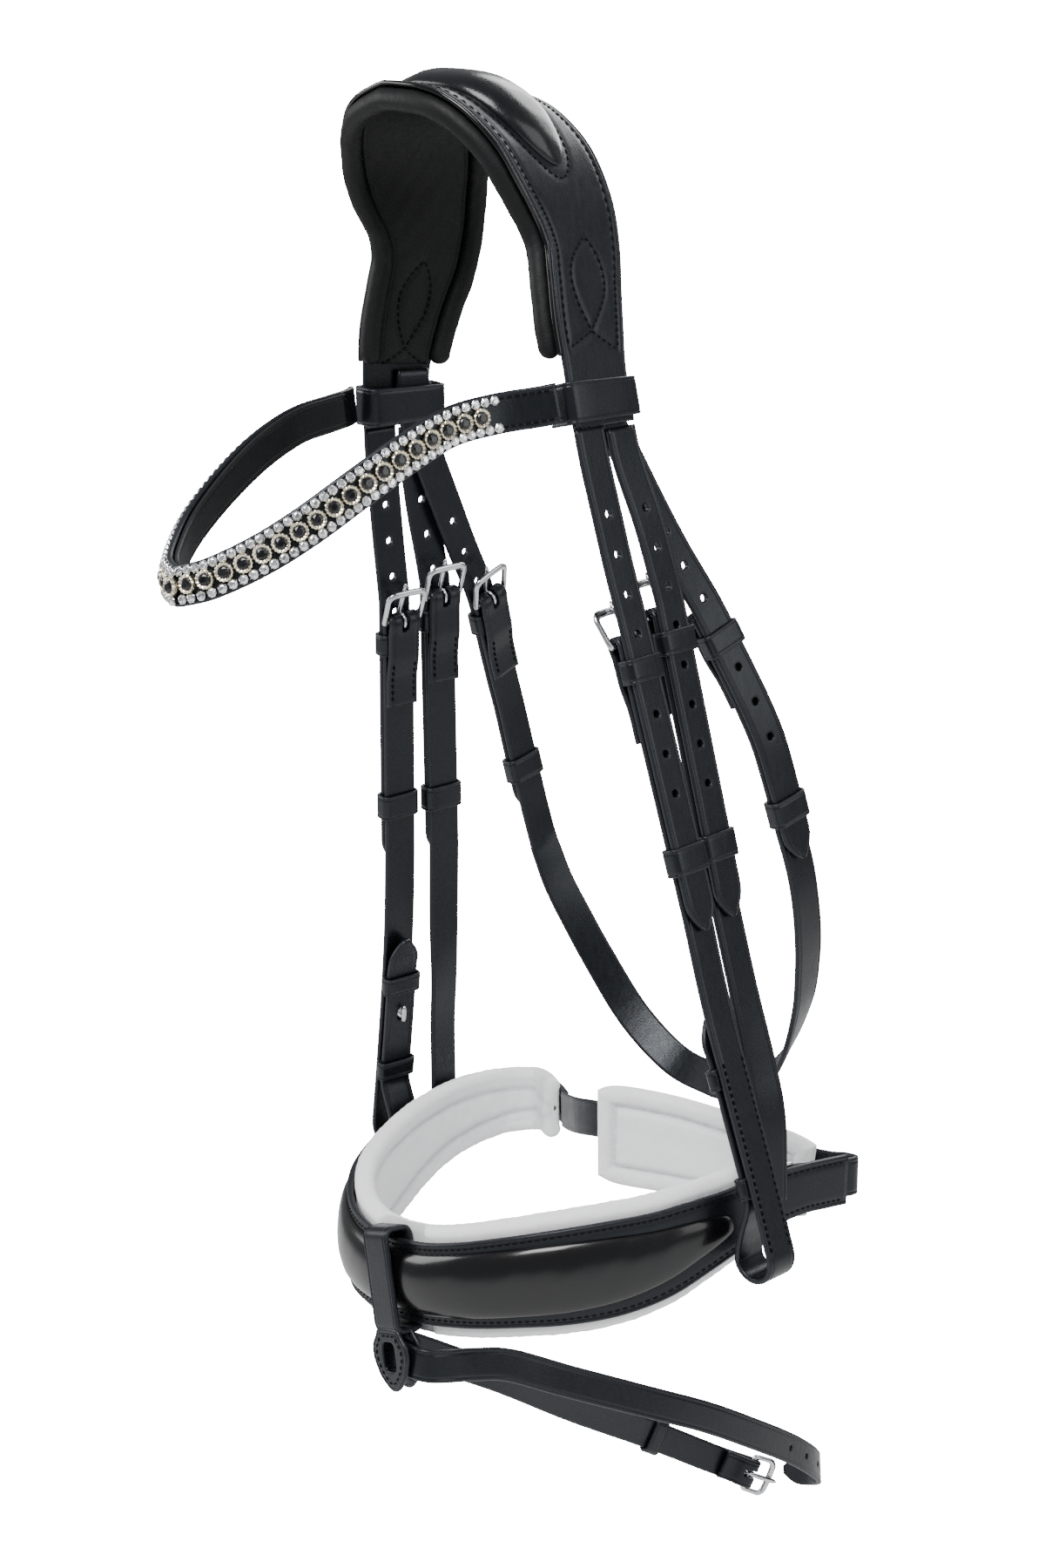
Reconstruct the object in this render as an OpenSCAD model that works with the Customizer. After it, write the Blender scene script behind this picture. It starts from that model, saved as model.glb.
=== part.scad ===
// Snaffle bridle without bit or reins, hanging by its headpiece.
// Millimetres. +Z up, the front of the bridle faces -Y, the horse's left (near) side is +X.
// The origin is the point on the underside of the headpiece where it rests on the poll.

/* [Straps] */
// Width of the cheek, noseband and throatlatch straps
strap_w = 16; // [13:0.5:18]
// Thickness of one layer of bridle leather
leather_t = 2.6; // [2:0.1:3]
// Pitch of the buckle holes
hole_pitch = 16.5; // [14:0.5:20]
// Diameter of the buckle holes
hole_d = 3.5; // [3:0.25:5]
// Length of the folded and sewn buckle end
chape_l = 40; // [36:1:50]

/* [Headpiece] */
// Width of the crown over the poll
crown_w = 64; // [50:1:70]
// Thickness of the soft headpiece lining
lining_t = 4.4; // [3:0.1:6]
// Diameter of the rolled edge of the lining
roll_d = 9; // [6:0.5:10]
// Height of the raised poll pad above the crown
dome_h = 7; // [4:0.5:10]
// Width of the slit between the cheek and noseband billets
slit_w = 2; // [1:0.25:3]

/* [Browband] */
// Height of the browband
brow_h = 16; // [13:0.5:18]
// Thickness of the browband leather
brow_t = 2.6; // [2:0.1:3.5]
// Diameter of the large stones
stone_d = 6.2; // [4:0.1:7]
// Distance between two large stones
stone_pitch = 8; // [7.5:0.1:12]
// Diameter of the small crystals
crystal_d = 2.8; // [2:0.1:3.5]
// Distance between two small crystals
crystal_pitch = 4.2; // [3.8:0.1:8]

/* [Buckles and loops] */
// Diameter of the buckle wire
wire_d = 2.6; // [2:0.1:3]
// Distance from the buckle bar to the nose of its frame
frame_h = 15; // [12:0.5:18]
// Inward lean of the buckle frames at rest, in degrees
frame_lean = 20; // [12:1:28]
// Thickness of the leather keeper loops
keeper_t = 1.5; // [1:0.1:2]
// Length of the keeper loops along the strap
keeper_l = 10; // [7:0.5:12]
// Diameter of the hook studs at the bit loops
stud_d = 3; // [2:0.25:4]

/* [Noseband] */
// Thickness of the soft noseband lining
nose_lining_t = 9; // [6:0.5:11]
// How far the lining stands out above and below the noseband
nose_lining_over = 6; // [3:0.5:8]
// Height of the padded bulge on the front of the noseband
nose_dome_h = 5; // [3:0.5:7]
// Width of the chin strap
jaw_w = 17; // [14:0.5:19]
// Thickness of the chin pad
chin_t = 9; // [6:0.5:11]

/* [Flash] */
// Width of the flash strap
flash_w = 14; // [11:0.5:15]
// Thickness of the flash strap
flash_t = 2.4; // [2:0.1:2.8]
// Width of the leather carrier that holds the flash strap
carrier_w = 16; // [12:0.5:20]

/* [Hidden] */
// Clearance between pieces that slide or turn on each other
gap = 0.3;
// Clearance between layers that lie on each other
lay_gap = 0.4;
// Play between a keeper loop and the straps that it holds
loop_gap = 0.4;
$fn = 32;

// ---------------------------------------------------------------- routes
// Each row is a point on the middle of the leather and the direction that its finished side faces.
// Near side only: the far side is the mirror image.

// How much thinner the leather is than the leather that the routes are laid for
thin = 2.6 - leather_t;
// Width of the crown at its foot, where the slit parts the cheek billet from the noseband billet
head_low = 2 * strap_w + slit_w;
// Middle of the crown from the poll down to the slit; the seventh number is its width
HEAD = [[0, -3, 6.1, 0, 0, 1, crown_w], [20, -1, 2.6, 0.25, 0, 0.97, crown_w - 2],
    [35, 5, -7.5, 0.6, 0.03, 0.8, crown_w - 6], [44.5, 13.5, -23, 0.82, 0.07, 0.57, crown_w - 8],
    [50, 20.5, -41, 0.95, 0.1, 0.3, head_low + 14], [53.8, 22.5, -57, 0.98, 0.11, 0.2, head_low + 8.5],
    [58, 20.5, -72, 0.98, 0.09, 0.2, head_low + 5.5], [62, 18.7, -88, 0.98, 0.07, 0.18, head_low + 3.5],
    [65, 18.6, -104, 0.985, 0.06, 0.14, head_low + 0.6], [67, 19.8, -118, 0.985, 0.05, 0.14, head_low],
    [68.3, 21, -128, 0.985, 0.05, 0.12, head_low]];
// Cheek billet, and below it the cheekpiece; straight from the buckle to the billet's tip
CHEEK_TOP = [[68.8, 12, -128, 0.99, 0.06, 0.1], [70.6, 14, -142, 0.99, 0.05, 0.1],
    [73.6, 18.5, -165, 0.99, 0.05, 0.1], [76, 22.3, -184, 0.99, 0.05, 0.1], [79, 27, -205, 0.99, 0.05, 0.15]];
CHEEK_LOW = [[102.6, 45, -325, 0.99, 0.05, 0.15], [109.5, 49.3, -360, 0.98, 0.05, 0.2],
    [118.5, 53.8, -395, 0.98, 0.05, 0.22], [128, 58, -430, 0.97, 0.05, 0.25], [137, 61.5, -464, 0.97, 0.05, 0.25]];
// Noseband billet, and below it the hanger
HANGER_TOP = [[67.8, 30, -128, 0.99, 0.06, 0.1], [70, 32.2, -142, 0.99, 0.05, 0.1],
    [74.2, 39.2, -165, 0.99, 0.05, 0.1], [76, 44.6, -183, 0.99, 0.05, 0.1], [77.4, 48.8, -198, 0.99, 0.05, 0.15]];
HANGER_LOW = [[97, 66.8, -325, 0.99, 0.05, 0.15], [103.5, 71.4, -360, 0.99, 0.02, 0.18],
    [109, 75.4, -390, 0.99, -0.1, 0.12], [113.2 - 1.5 * thin, 77.6, -415, 0.99, -0.15, 0.05],
    [113.6 - 1.5 * thin, 78.4, -450, 0.99, -0.15, 0.02]];
// Throatlatch billet, sewn to the inside of the crown, and below it the throatlatch to its lowest point
THROAT_TOP = [[61.2 + thin, 24.5, -104, 0.985, 0.06, 0.14], [62.5 + thin, 25.4, -114, 0.985, 0.06, 0.12],
    [63.9 + thin, 28, -126, 0.985, 0.06, 0.12], [66.2, 37.2, -143, 0.99, 0.05, 0.1], [68.7, 48.5, -163, 0.99, 0.03, 0.1],
    [71.4, 59, -181, 0.99, 0, 0.1], [75.2, 73, -203, 0.99, -0.1, 0.15]];
THROAT_LOW = [[79.5, 82, -222, 0.99, -0.12, 0.15], [83.8, 91, -241, 0.99, -0.12, 0.15],
    [86.6, 98.6, -258, 0.99, -0.1, 0.1], [88, 105, -276, 1, -0.05, 0.02], [88.9, 111.3, -295, 1, 0, 0],
    [89.8, 117.5, -313, 1, 0, 0], [89, 122.5, -329, 0.98, 0.05, -0.1],
    [85.5, 128.5, -347, 0.95, 0.1, -0.3], [79.5, 135, -364, 0.88, 0.2, -0.45],
    [70, 142.5, -385, 0.75, 0.35, -0.55], [52, 150.5, -412, 0.5, 0.6, -0.6],
    [28, 157, -431, 0.15, 0.75, -0.6], [0, 160, -437, -0.2, 0.8, -0.55]];
// The far half of the throatlatch from its lowest point, which shows its inner side
THROAT_FAR = [[-28, 157, -431, -0.45, 0.75, -0.5], [-52, 150.5, -412, -0.65, 0.65, -0.4],
    [-70, 142.5, -385, -0.8, 0.5, -0.3], [-79.5, 135, -364, -0.88, 0.4, -0.25],
    [-85.5, 128.5, -347, -0.94, 0.25, -0.15], [-89, 122.5, -329, -0.98, 0.1, -0.05]];
// Browband, from the near loop to the middle of the forehead; its end follows the width of the crown
BROW = [[69.3, 13.6 - head_low / 2, -119.4, 0.9, -0.4, 0],
    [64.6, -10, -121, 0.9, -0.3, 0], [57.5, -24, -123.5, 0.95, -0.2, 0],
    [53.5, -44, -128.5, 1, -0.05, 0], [51.5, -64, -138.5, 0.98, -0.2, 0], [47, -84, -151.5, 0.9, -0.4, 0],
    [39.5, -104, -166, 0.8, -0.6, 0], [29, -119, -177, 0.65, -0.75, 0], [15, -132, -185.5, 0.4, -0.9, 0],
    [0, -138, -189, 0, -1, 0]];
// Noseband: outer side of the black strap, front to near side; the seventh number is its height
NOSE = [[0, -35, -487, 0, -1, 0, 35], [20, -33.5, -485, 0.25, -0.97, 0, 35.5],
    [40, -28, -481.5, 0.45, -0.9, 0, 37], [57, -18, -478, 0.65, -0.75, 0, 39],
    [72, -4, -475, 0.8, -0.6, 0, 41], [84, 13, -472, 0.87, -0.5, 0, 41],
    [93, 30, -468, 0.92, -0.4, 0, 38], [100, 46, -462, 0.95, -0.3, 0, 33],
    [105, 62, -456.5, 0.97, -0.22, 0, 28], [108.5, 79, -451, 0.98, -0.15, 0, 24],
    [111, 97, -448.5, 0.99, -0.08, 0, 22], [112, 112, -448.5, 1, -0.03, 0, 22],
    [112.3, 124, -449, 1, 0, 0, 22]];
// The same strap on the far side, which turns inwards behind the jaw
NOSE_FAR = [[-20, -33.5, -487.5, -0.25, -0.97, 0, 35.5], [-40, -28, -486, -0.45, -0.9, 0, 37],
    [-57, -18, -483, -0.65, -0.75, 0, 38], [-72, -4, -478.5, -0.8, -0.6, 0, 38],
    [-84, 13, -473.5, -0.87, -0.5, 0, 36], [-93, 30, -469, -0.92, -0.4, 0, 33],
    [-100, 46, -465, -0.95, -0.3, 0, 30], [-105, 62, -461.5, -0.97, -0.22, 0, 27],
    [-109, 79, -459, -0.98, -0.15, 0, 25], [-111.5, 96, -458, -1, -0.05, 0, 23],
    [-111, 112, -457.5, -0.97, 0.3, 0, 21], [-104, 125, -457, -0.7, 0.72, 0, 20],
    [-91, 131, -456, -0.15, 0.98, 0, 19], [-76, 125, -454.5, 0.35, 0.93, 0, 18],
    [-60, 115.5, -453, 0.5, 0.87, 0, 17]];
// Chin strap: from the far end of the noseband, behind the chin pad, and round the near tab
JAW = [[-57.5, 110, -452, 0.5, 0.87, 0], [-46, 103.5, -450, 0.5, 0.87, 0], [-28, 94.5, -446, 0.35, 0.93, 0],
    [-9, 90, -442.5, 0.05, 1, 0], [10, 93.5, -442.5, -0.3, 0.95, 0], [30, 103, -444, -0.45, 0.89, 0],
    [55, 116, -447, -0.47, 0.88, 0], [78, 128, -450, -0.45, 0.89, 0], [92, 133.5, -451, -0.3, 0.95, 0]];
JAW_TURN = [[100, 136.6, -450.5, 0.1, 1, 0], [106.3, 135.4, -450, 0.75, 0.66, 0],
    [108.4, 130.5, -449.6, 1, 0.1, 0], [107, 122, -449.3, 1, -0.1, 0], [106, 112, -449.2, 0.98, -0.1, 0],
    [104.8, 100, -449.5, 0.99, -0.1, 0]];
// Middle of the chin pad; the seventh number is its height
CHIN = [[2, 79, -444, -0.3, 0.95, 0, 44], [12, 83.5, -444, -0.42, 0.9, 0, 46],
    [34, 94.5, -445.5, -0.47, 0.88, 0, 45], [58, 107, -449, -0.47, 0.88, 0, 42],
    [78, 117.5, -452, -0.45, 0.89, 0, 39], [92, 123, -454, -0.35, 0.94, 0, 36]];
// Flash strap: from the carrier back along the near side, round, and forward on the far side
FLASH = [[-6.5, -38.1, -519.5, -0.15, -1, 0.1], [0, -38.5, -519.3, 0, -1, 0.1], [13, -38.5, -518.6, 0, -1, 0.1],
    [20, -38.1, -518.6, 0.15, -1, 0.1], [24.5, -34.5, -519.2, 0.75, -0.65, 0.15],
    [26.5, -26, -520.5, 0.97, -0.2, 0.2], [26, -12, -523.5, 0.97, -0.1, 0.25], [27.5, 6, -528, 0.97, -0.1, 0.22],
    [35, 33, -540, 0.98, -0.1, 0.2],
    [42, 75, -558.5, 1, 0, 0.15], [44, 108, -573.5, 1, 0, 0.12], [43, 138, -589.5, 0.99, 0.08, 0.1],
    [39, 168, -606.5, 0.97, 0.2, 0.1], [34, 189, -620.5, 0.9, 0.45, 0.05], [25, 203, -631.5, 0.6, 0.8, 0],
    [13, 208, -638, 0.1, 1, 0], [2, 203, -639.5, -0.5, 0.87, 0]];
FLASH_FAR = [[-11, -34.5, -520.4, -0.75, -0.65, 0.1], [-13, -27, -522, -0.97, -0.2, 0.1],
    [-12, -15, -527, -0.97, 0.1, 0.2], [-9.5, 4, -537, -0.97, 0.1, 0.2], [-10, 35, -553.5, -0.98, 0.1, 0.15],
    [-14, 80, -580, -0.99, 0.05, 0.1], [-16, 124, -604, -1, 0, 0.08], [-15, 148, -617.5, -0.99, 0.05, 0.05],
    [-12, 170, -630, -0.98, 0.15, 0], [-7.5, 186, -638, -0.93, 0.36, 0]];

// ---------------------------------------------------------------- route geometry
function unit(v) = v / norm(v);
function xyz(r) = [r[0], r[1], r[2]];
function face(r) = [r[3], r[4], r[5]];
function mirrored(R) = [for (r = R) [for (i = [0:len(r) - 1]) (i == 0 || i == 3) ? -r[i] : r[i]]];
function reversed(R) = [for (i = [len(R) - 1:-1:0]) R[i]];
// Catmull-Rom curve through the rows
function spline(a, b, c, d, t) =
    0.5 * (2 * b + (c - a) * t + (2 * a - 5 * b + 4 * c - d) * t * t + (3 * b - a - 3 * c + d) * t * t * t);
function row(R, u) = let (n = len(R) - 1, k = max(0, min(n - 1, floor(u * n))), t = u * n - k)
    spline(k > 0 ? R[k - 1] : 2 * R[0] - R[1], R[k], R[k + 1], k < n - 1 ? R[k + 2] : 2 * R[n] - R[n - 1], t);
// A route as a list of rows, n for each stretch between two chosen points
function fine(R, n) = [for (i = [0:n * (len(R) - 1)]) row(R, i / (n * (len(R) - 1)))];
// Tangent, outward normal and crosswise direction at row i
function tangent(R, i) = unit(xyz(R[min(i + 1, len(R) - 1)]) - xyz(R[max(i - 1, 0)]));
function outward(R, i) = let (t = tangent(R, i), n = face(R[i])) unit(n - (n * t) * t);
function across(R, i) = cross(outward(R, i), tangent(R, i));
// A route moved d along its outward normal
function shifted(R, d) = [for (i = [0:len(R) - 1])
    concat(xyz(R[i]) + d * outward(R, i), outward(R, i), len(R[i]) > 6 ? [R[i][6]] : [])];
// Distance along a route up to row i, and the place at a distance as [point, tangent, outward, across]
function step(R, i) = norm(xyz(R[i + 1]) - xyz(R[i]));
function stations(R) = [for (i = 0, s = 0; i < len(R); s = s + (i < len(R) - 1 ? step(R, i) : 0), i = i + 1) s];
function place(R, s) = let (S = stations(R), j = max([0, for (i = [0:len(S) - 2]) S[i] <= s ? i : 0]),
    f = (s - S[j]) / (S[j + 1] - S[j]))
    [xyz(R[j]) * (1 - f) + xyz(R[j + 1]) * f, unit(tangent(R, j) * (1 - f) + tangent(R, j + 1) * f),
     unit(outward(R, j) * (1 - f) + outward(R, j + 1) * f)];
// Part of a route between two distances
function cut(R, a, b) = let (S = stations(R), P = place(R, a), Q = place(R, b))
    concat([concat(P[0], P[2])], [for (i = [0:len(R) - 1]) if (S[i] > a + 1.5 && S[i] < b - 1.5) concat(xyz(R[i]), face(R[i]))],
        [concat(Q[0], Q[2])]);
// Stands children at a place on a route: X across, Y outward, Z up the strap
module stand(R, s) {
    p = place(R, s);
    up = -p[1];
    out = unit(p[2] - (p[2] * up) * up);
    side = cross(out, up);
    multmatrix([[side[0], out[0], up[0], p[0][0]], [side[1], out[1], up[1], p[0][1]],
        [side[2], out[2], up[2], p[0][2]]]) children();
}

// ---------------------------------------------------------------- sweeps
// A closed skin over rings of equal length, with flat ends
module skin(rings) {
    m = len(rings[0]);
    n = len(rings);
    polyhedron(points = [for (r = rings) each r],
        faces = concat([[for (j = [m - 1:-1:0]) j]], [[for (j = [0:m - 1]) (n - 1) * m + j]],
            [for (i = [0:n - 2], j = [0:m - 1]) let (k = (j + 1) % m)
                each [[i * m + j, (i + 1) * m + k, (i + 1) * m + j], [i * m + j, i * m + k, (i + 1) * m + k]]]));
}
// Ring of a strap w wide and t thick
function strap_ring(R, i, w, t) = let (c = xyz(R[i]), a = across(R, i) * w / 2, n = outward(R, i) * t / 2)
    [c + a + n, c + a - n, c - a - n, c - a + n];
// A flat strap whose ends can run to a point over tip_l millimetres
module strap(R, w, t, tip_a = 0, tip_b = 0) {
    S = stations(R);
    e = S[len(S) - 1];
    skin([for (i = [0:len(R) - 1]) let (
        fa = tip_a > 0 ? min(1, (S[i] + 2) / tip_a) : 1, fb = tip_b > 0 ? min(1, (e - S[i] + 2) / tip_b) : 1)
        strap_ring(R, i, w * sin(90 * min(fa, fb)), t)]);
}
// A strap whose width is the seventh number of its rows plus extra
module wide_strap(R, t, extra = 0)
    skin([for (i = [0:len(R) - 1]) let (c = xyz(R[i]), a = across(R, i) * (R[i][6] + extra) / 2,
        n = outward(R, i) * t / 2) [c + a + n, c + a - n, c - n, c - a - n, c - a + n, c + n]]);
// A soft pad: a strap with rounded long edges, which closes to half its size at its ends
module pad(R, t, extra = 0) {
    n = len(R) - 1;
    skin([for (i = [0:n]) let (e = (i == 0 || i == n) ? 0.7 : 1, w = (R[i][6] + extra) / 2 * e, h = t / 2 * e,
        c = xyz(R[i]), a = across(R, i), o = outward(R, i))
        [for (q = [[1, -0.4], [0.86, -1], [-0.86, -1], [-1, -0.4], [-1, 0.4], [-0.86, 1], [0.86, 1], [1, 0.4]])
            c + a * w * q[0] + o * h * q[1]]]);
}
// A bulge of height h(i) on a strap of the route's width less margin; its flat side lies on the route
module bulge(R, h, margin) {
    n = len(R) - 1;
    skin([for (i = [0:n]) let (e = sin(180 * i / n), w = (R[i][6] - margin) / 2 * max(0.12, pow(e, 0.45)),
        c = xyz(R[i]), a = across(R, i), o = outward(R, i) * h * max(0.08, pow(e, 0.6)))
        [for (k = [8:-1:0]) c + a * w * cos(180 * k / 8) + o * sin(180 * k / 8)]]);
}
// A round cord of diameter d along a route
module cord(R, d)
    skin([for (i = [0:len(R) - 1]) [for (k = [0:7])
        xyz(R[i]) + (across(R, i) * cos(45 * k) - outward(R, i) * sin(45 * k)) * d / 2]]);

// ---------------------------------------------------------------- fits that straps and metalwork share
wire_r = wire_d / 2;
// From the middle of a billet to the middle of the layer under it
layer = leather_t + lay_gap;
// From the middle of that layer to the buckle bar, and on to the layer that is folded behind
fold_r = wire_r + gap + leather_t / 2;
bar_in = layer + fold_r;
// Distances down the strap from the buckle bar: the keeper, and where the fold has closed behind it
keeper_at = 11;
fold_close = keeper_at + keeper_l / 2 + 14;
// Behind the keeper the folded layer leaves room for the keeper's own back
fold_wide = layer + leather_t + keeper_t + 0.4;
fold_shut = layer + leather_t + 0.1;
frame_in = strap_w + 2 * gap;

// The strap behind a billet: folded round the bar at distance s0 of the billet's route L, then down to chape_l
function chape(L, s0) = concat(
    [for (s = [chape_l, fold_close, keeper_at + keeper_l / 2 + 1, keeper_at - keeper_l / 2 - 1])
        let (p = place(L, s0 + s)) concat(p[0] - p[2] * (s < fold_close ? fold_wide : fold_shut), -p[2])],
    let (p = place(L, s0), up = -p[1], out = unit(p[2] - (p[2] * up) * up), c = p[0] - out * bar_in)
        [for (a = [-90:22.5:90]) let (q = out * sin(a) + up * cos(a)) concat(c + q * fold_r, q)]);
// A route whose end turns inwards round a bar and lies back along itself
function turned(R) = let (n = len(R) - 1, t = tangent(R, n), o = outward(R, n), c = xyz(R[n]) - o * fold_r)
    concat(R, [for (a = [22.5:22.5:180]) let (q = o * cos(a) + t * sin(a)) concat(c + q * fold_r, q)],
        [for (s = [5, 10, 16]) concat(c - o * (s > 5 ? leather_t + 0.2 - fold_r : fold_r) - t * s, -o)]);
function run(L, s0, s1) = shifted(cut(L, s0 + 6, s1), -layer);

// Joins routes end to end, leaving out the point that two of them share
function join(A, B) = concat(A, [for (i = [1:len(B) - 1]) B[i]]);
// Distance down a route to a height
function down_to(R, z) = let (S = stations(R)) lookup(-z, [for (i = [0:len(R) - 1]) [-R[i][2], S[i]]]);

head_fine = 4;
HEAD_NEAR = fine(HEAD, head_fine);
HEAD_ALL = join(reversed(mirrored(HEAD_NEAR)), HEAD_NEAR);
CHEEK = join(join(fine(CHEEK_TOP, 3), fine([CHEEK_TOP[4], CHEEK_LOW[0]], 8)), fine(CHEEK_LOW, 3));
HANGER = join(join(fine(HANGER_TOP, 3), fine([HANGER_TOP[4], HANGER_LOW[0]], 8)), fine(HANGER_LOW, 3));
THROAT = join(fine(THROAT_TOP, 3), fine(THROAT_LOW, 3));
THROAT_ALL = join(THROAT, fine(concat([THROAT_LOW[12]], THROAT_FAR), 3));
NOSE_ALL = join(reversed(fine(concat([NOSE[0]], NOSE_FAR), 2)), fine(NOSE, 2));
BROW_ALL = join(fine(BROW, 3), reversed(mirrored(fine(BROW, 3))));

// Distances down the billets: the buckle bar, the runner and the tip
CHEEK_BAR = down_to(CHEEK, -214);
HANGER_BAR = down_to(HANGER, -204);
THROAT_BAR = down_to(THROAT, -206);
cheek_runner = 90;
hanger_runner = 97;
throat_runner = 91;
cheek_tip = 120;
hanger_tip = 127;
throat_tip = 114;
// Heights of the first hole of each billet, and how many each has
cheek_hole_z = -163;
hanger_hole_z = -161;
throat_hole_z = -171;
holes = 8;
// The loop that holds the bit: where it turns, its radius, and the distances back up the return leg
CHEEK_TURN = down_to(CHEEK, -462);
bit_r = 9;
sewn_gap = 0.15;
return_stack = leather_t + keeper_t + 2 * sewn_gap;
bit_keeper_low = 30;
stud_up = 60;
bit_keeper_high = 76;
return_l = 100;

// ---------------------------------------------------------------- headpiece
function strip_rings(R, tip) = let (S = stations(R), e = S[len(S) - 1])
    [for (i = [0:len(R) - 1]) strap_ring(R, i, strap_w * sin(90 * min(1, (e - S[i] + 2) / tip)), leather_t)];
function crown_ring(i) = let (R = HEAD_ALL, c = xyz(R[i]), a = across(R, i), n = outward(R, i) * leather_t / 2,
    w = R[i][6] / 2, g = slit_w / 2)
    [c + a * w + n, c + a * w - n, c + a * g - n, c - a * g - n,
     c - a * w - n, c - a * w + n, c - a * g + n, c + a * g + n];
billet_point = 14;
module holes_down(L, z) {
    s = down_to(L, z);
    for (k = [0:holes - 1]) stand(L, s + k * hole_pitch) rotate([90, 0, 0]) cylinder(d = hole_d, h = 12, center = true);
}
// One piece of leather: the crown, slit below the browband into a cheek and a noseband billet on each side
module crown_strap() {
    n = len(HEAD_ALL);
    cheek = strip_rings(cut(CHEEK, 4, CHEEK_BAR + cheek_tip), billet_point);
    hanger = strip_rings(cut(HANGER, 4, HANGER_BAR + hanger_tip), billet_point);
    nc = len(cheek);
    nh = len(hanger);
    function flip(rings) = [for (r = rings) [for (v = r) [-v[0], v[1], v[2]]]];
    rings = [cheek, hanger, flip(cheek), flip(hanger)];
    first = [8 * n, 8 * n + 4 * nc, 8 * n + 4 * (nc + nh), 8 * n + 4 * (2 * nc + nh)];
    root = [[6, 3, 4, 5], [0, 1, 2, 7]];
    function corner(b, i, j) = i < 0 ? (b < 2 ? 8 * (n - 1) : 0) + root[b % 2][j] : first[b] + 4 * i + j;
    color("#23262b") difference() {
        polyhedron(points = concat([for (i = [0:n - 1]) each crown_ring(i)], [for (b = rings, r = b) each r]),
            faces = concat(
                [for (i = [0:n - 2], j = [0:7]) let (k = (j + 1) % 8)
                    each [[i * 8 + j, (i + 1) * 8 + k, (i + 1) * 8 + j], [i * 8 + j, i * 8 + k, (i + 1) * 8 + k]]],
                [[6, 3, 2, 7], [for (q = [7, 2, 3, 6]) 8 * (n - 1) + q]],
                [for (b = [0:3], i = [-1:len(rings[b]) - 2], j = [0:3]) let (k = (j + 1) % 4,
                    p = corner(b, i, j), q = corner(b, i + 1, j), r = corner(b, i + 1, k), s = corner(b, i, k))
                    each b < 2 ? [[p, r, q], [p, s, r]] : [[p, q, r], [p, r, s]]],
                [for (b = [0:3]) [for (j = b < 2 ? [0:3] : [3:-1:0]) corner(b, len(rings[b]) - 1, j)]]));
        for (side = [0, 1]) mirror([side, 0, 0]) {
            holes_down(CHEEK, cheek_hole_z);
            holes_down(HANGER, hanger_hole_z);
        }
    }
}

// The lining hangs under the crown from one browband loop to the other, with a rolled edge on each side
lining_out = leather_t / 2 + lining_t / 2 + lay_gap;
lining_rows = head_fine * 8;
function lining_route() = let (R = [for (i = [0:lining_rows - 1]) HEAD_NEAR[i]]) join(reversed(mirrored(R)), R);
function edge_route(d, inward) = let (R = lining_route())
    [for (i = [0:len(R) - 1]) concat(xyz(R[i]) + across(R, i) * (R[i][6] / 2 + d) * (inward ? 1 : -1)
        - outward(R, i) * (leather_t / 2 + roll_d / 2 + 0.2), outward(R, i))];
module crown_lining() color("#1b1d20") wide_strap(shifted(lining_route(), -lining_out), lining_t, -roll_d - 0.6);
module lining_roll_front() color("#1b1d20") cord(edge_route(0.2, false), roll_d);
module lining_roll_back() color("#1b1d20") cord(edge_route(0.2, true), roll_d);
piping_d = 2.2;
module patent_piping() color("#0a0a0c") {
    R = lining_route();
    cord([for (i = [0:len(R) - 1]) concat(xyz(R[i]) - across(R, i) * (R[i][6] / 2 + piping_d / 2 + 0.1)
        + outward(R, i) * 0.2, outward(R, i))], piping_d);
}
dome_rows = head_fine * 3;
module poll_dome() color("#202328") {
    R = [for (i = [0:dome_rows]) HEAD_NEAR[i]];
    bulge(shifted(join(reversed(mirrored(R)), R), leather_t / 2 + 0.25), dome_h, crown_w * 0.42);
}
// A billet of its own, sewn to the inside of the crown
module throat_billet(side) color("#23262b") mirror([side, 0, 0]) difference() {
    strap(cut(THROAT, 0, THROAT_BAR + throat_tip), strap_w, leather_t, 0, billet_point);
    s = down_to(THROAT, throat_hole_z);
    for (k = [0:holes - 2]) stand(THROAT, s + k * hole_pitch) rotate([90, 0, 0])
        cylinder(d = hole_d, h = 12, center = true);
}
module throat_billet_near() throat_billet(0);
module throat_billet_far() throat_billet(1);

// ---------------------------------------------------------------- browband
brow_lining_t = 2;
module browband_strap() color("#1d1f23") strap(shifted(BROW_ALL, -brow_t / 2), brow_h, brow_t);
module browband_lining() color("#17191c")
    strap(shifted(cut(BROW_ALL, 16, stations(BROW_ALL)[len(BROW_ALL) - 1] - 16), -brow_t - brow_lining_t / 2 - 0.022 * brow_h),
        brow_h - 1.5, brow_lining_t);
// The end of the browband is a flat loop round the crown
loop_z = -118;
loop_t = 2;
loop_play = 1.2;
loop_in = head_low + 2.2;
module browband_loop(side) color("#23262b") mirror([side, 0, 0]) {
    s = down_to(HEAD_NEAR, loop_z);
    inner = leather_t / 2 + layer + leather_t + 2.6;
    stand(HEAD_NEAR, s) linear_extrude(height = brow_h, center = true) difference() {
        translate([-loop_in / 2 - loop_t, -inner - loop_t])
            square([loop_in + 2 * loop_t, inner + leather_t / 2 + loop_play + 2 * loop_t]);
        translate([-loop_in / 2, -inner]) square([loop_in, inner + leather_t / 2 + loop_play]);
    }
}
module browband_loop_near() browband_loop(0);
module browband_loop_far() browband_loop(1);
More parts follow.
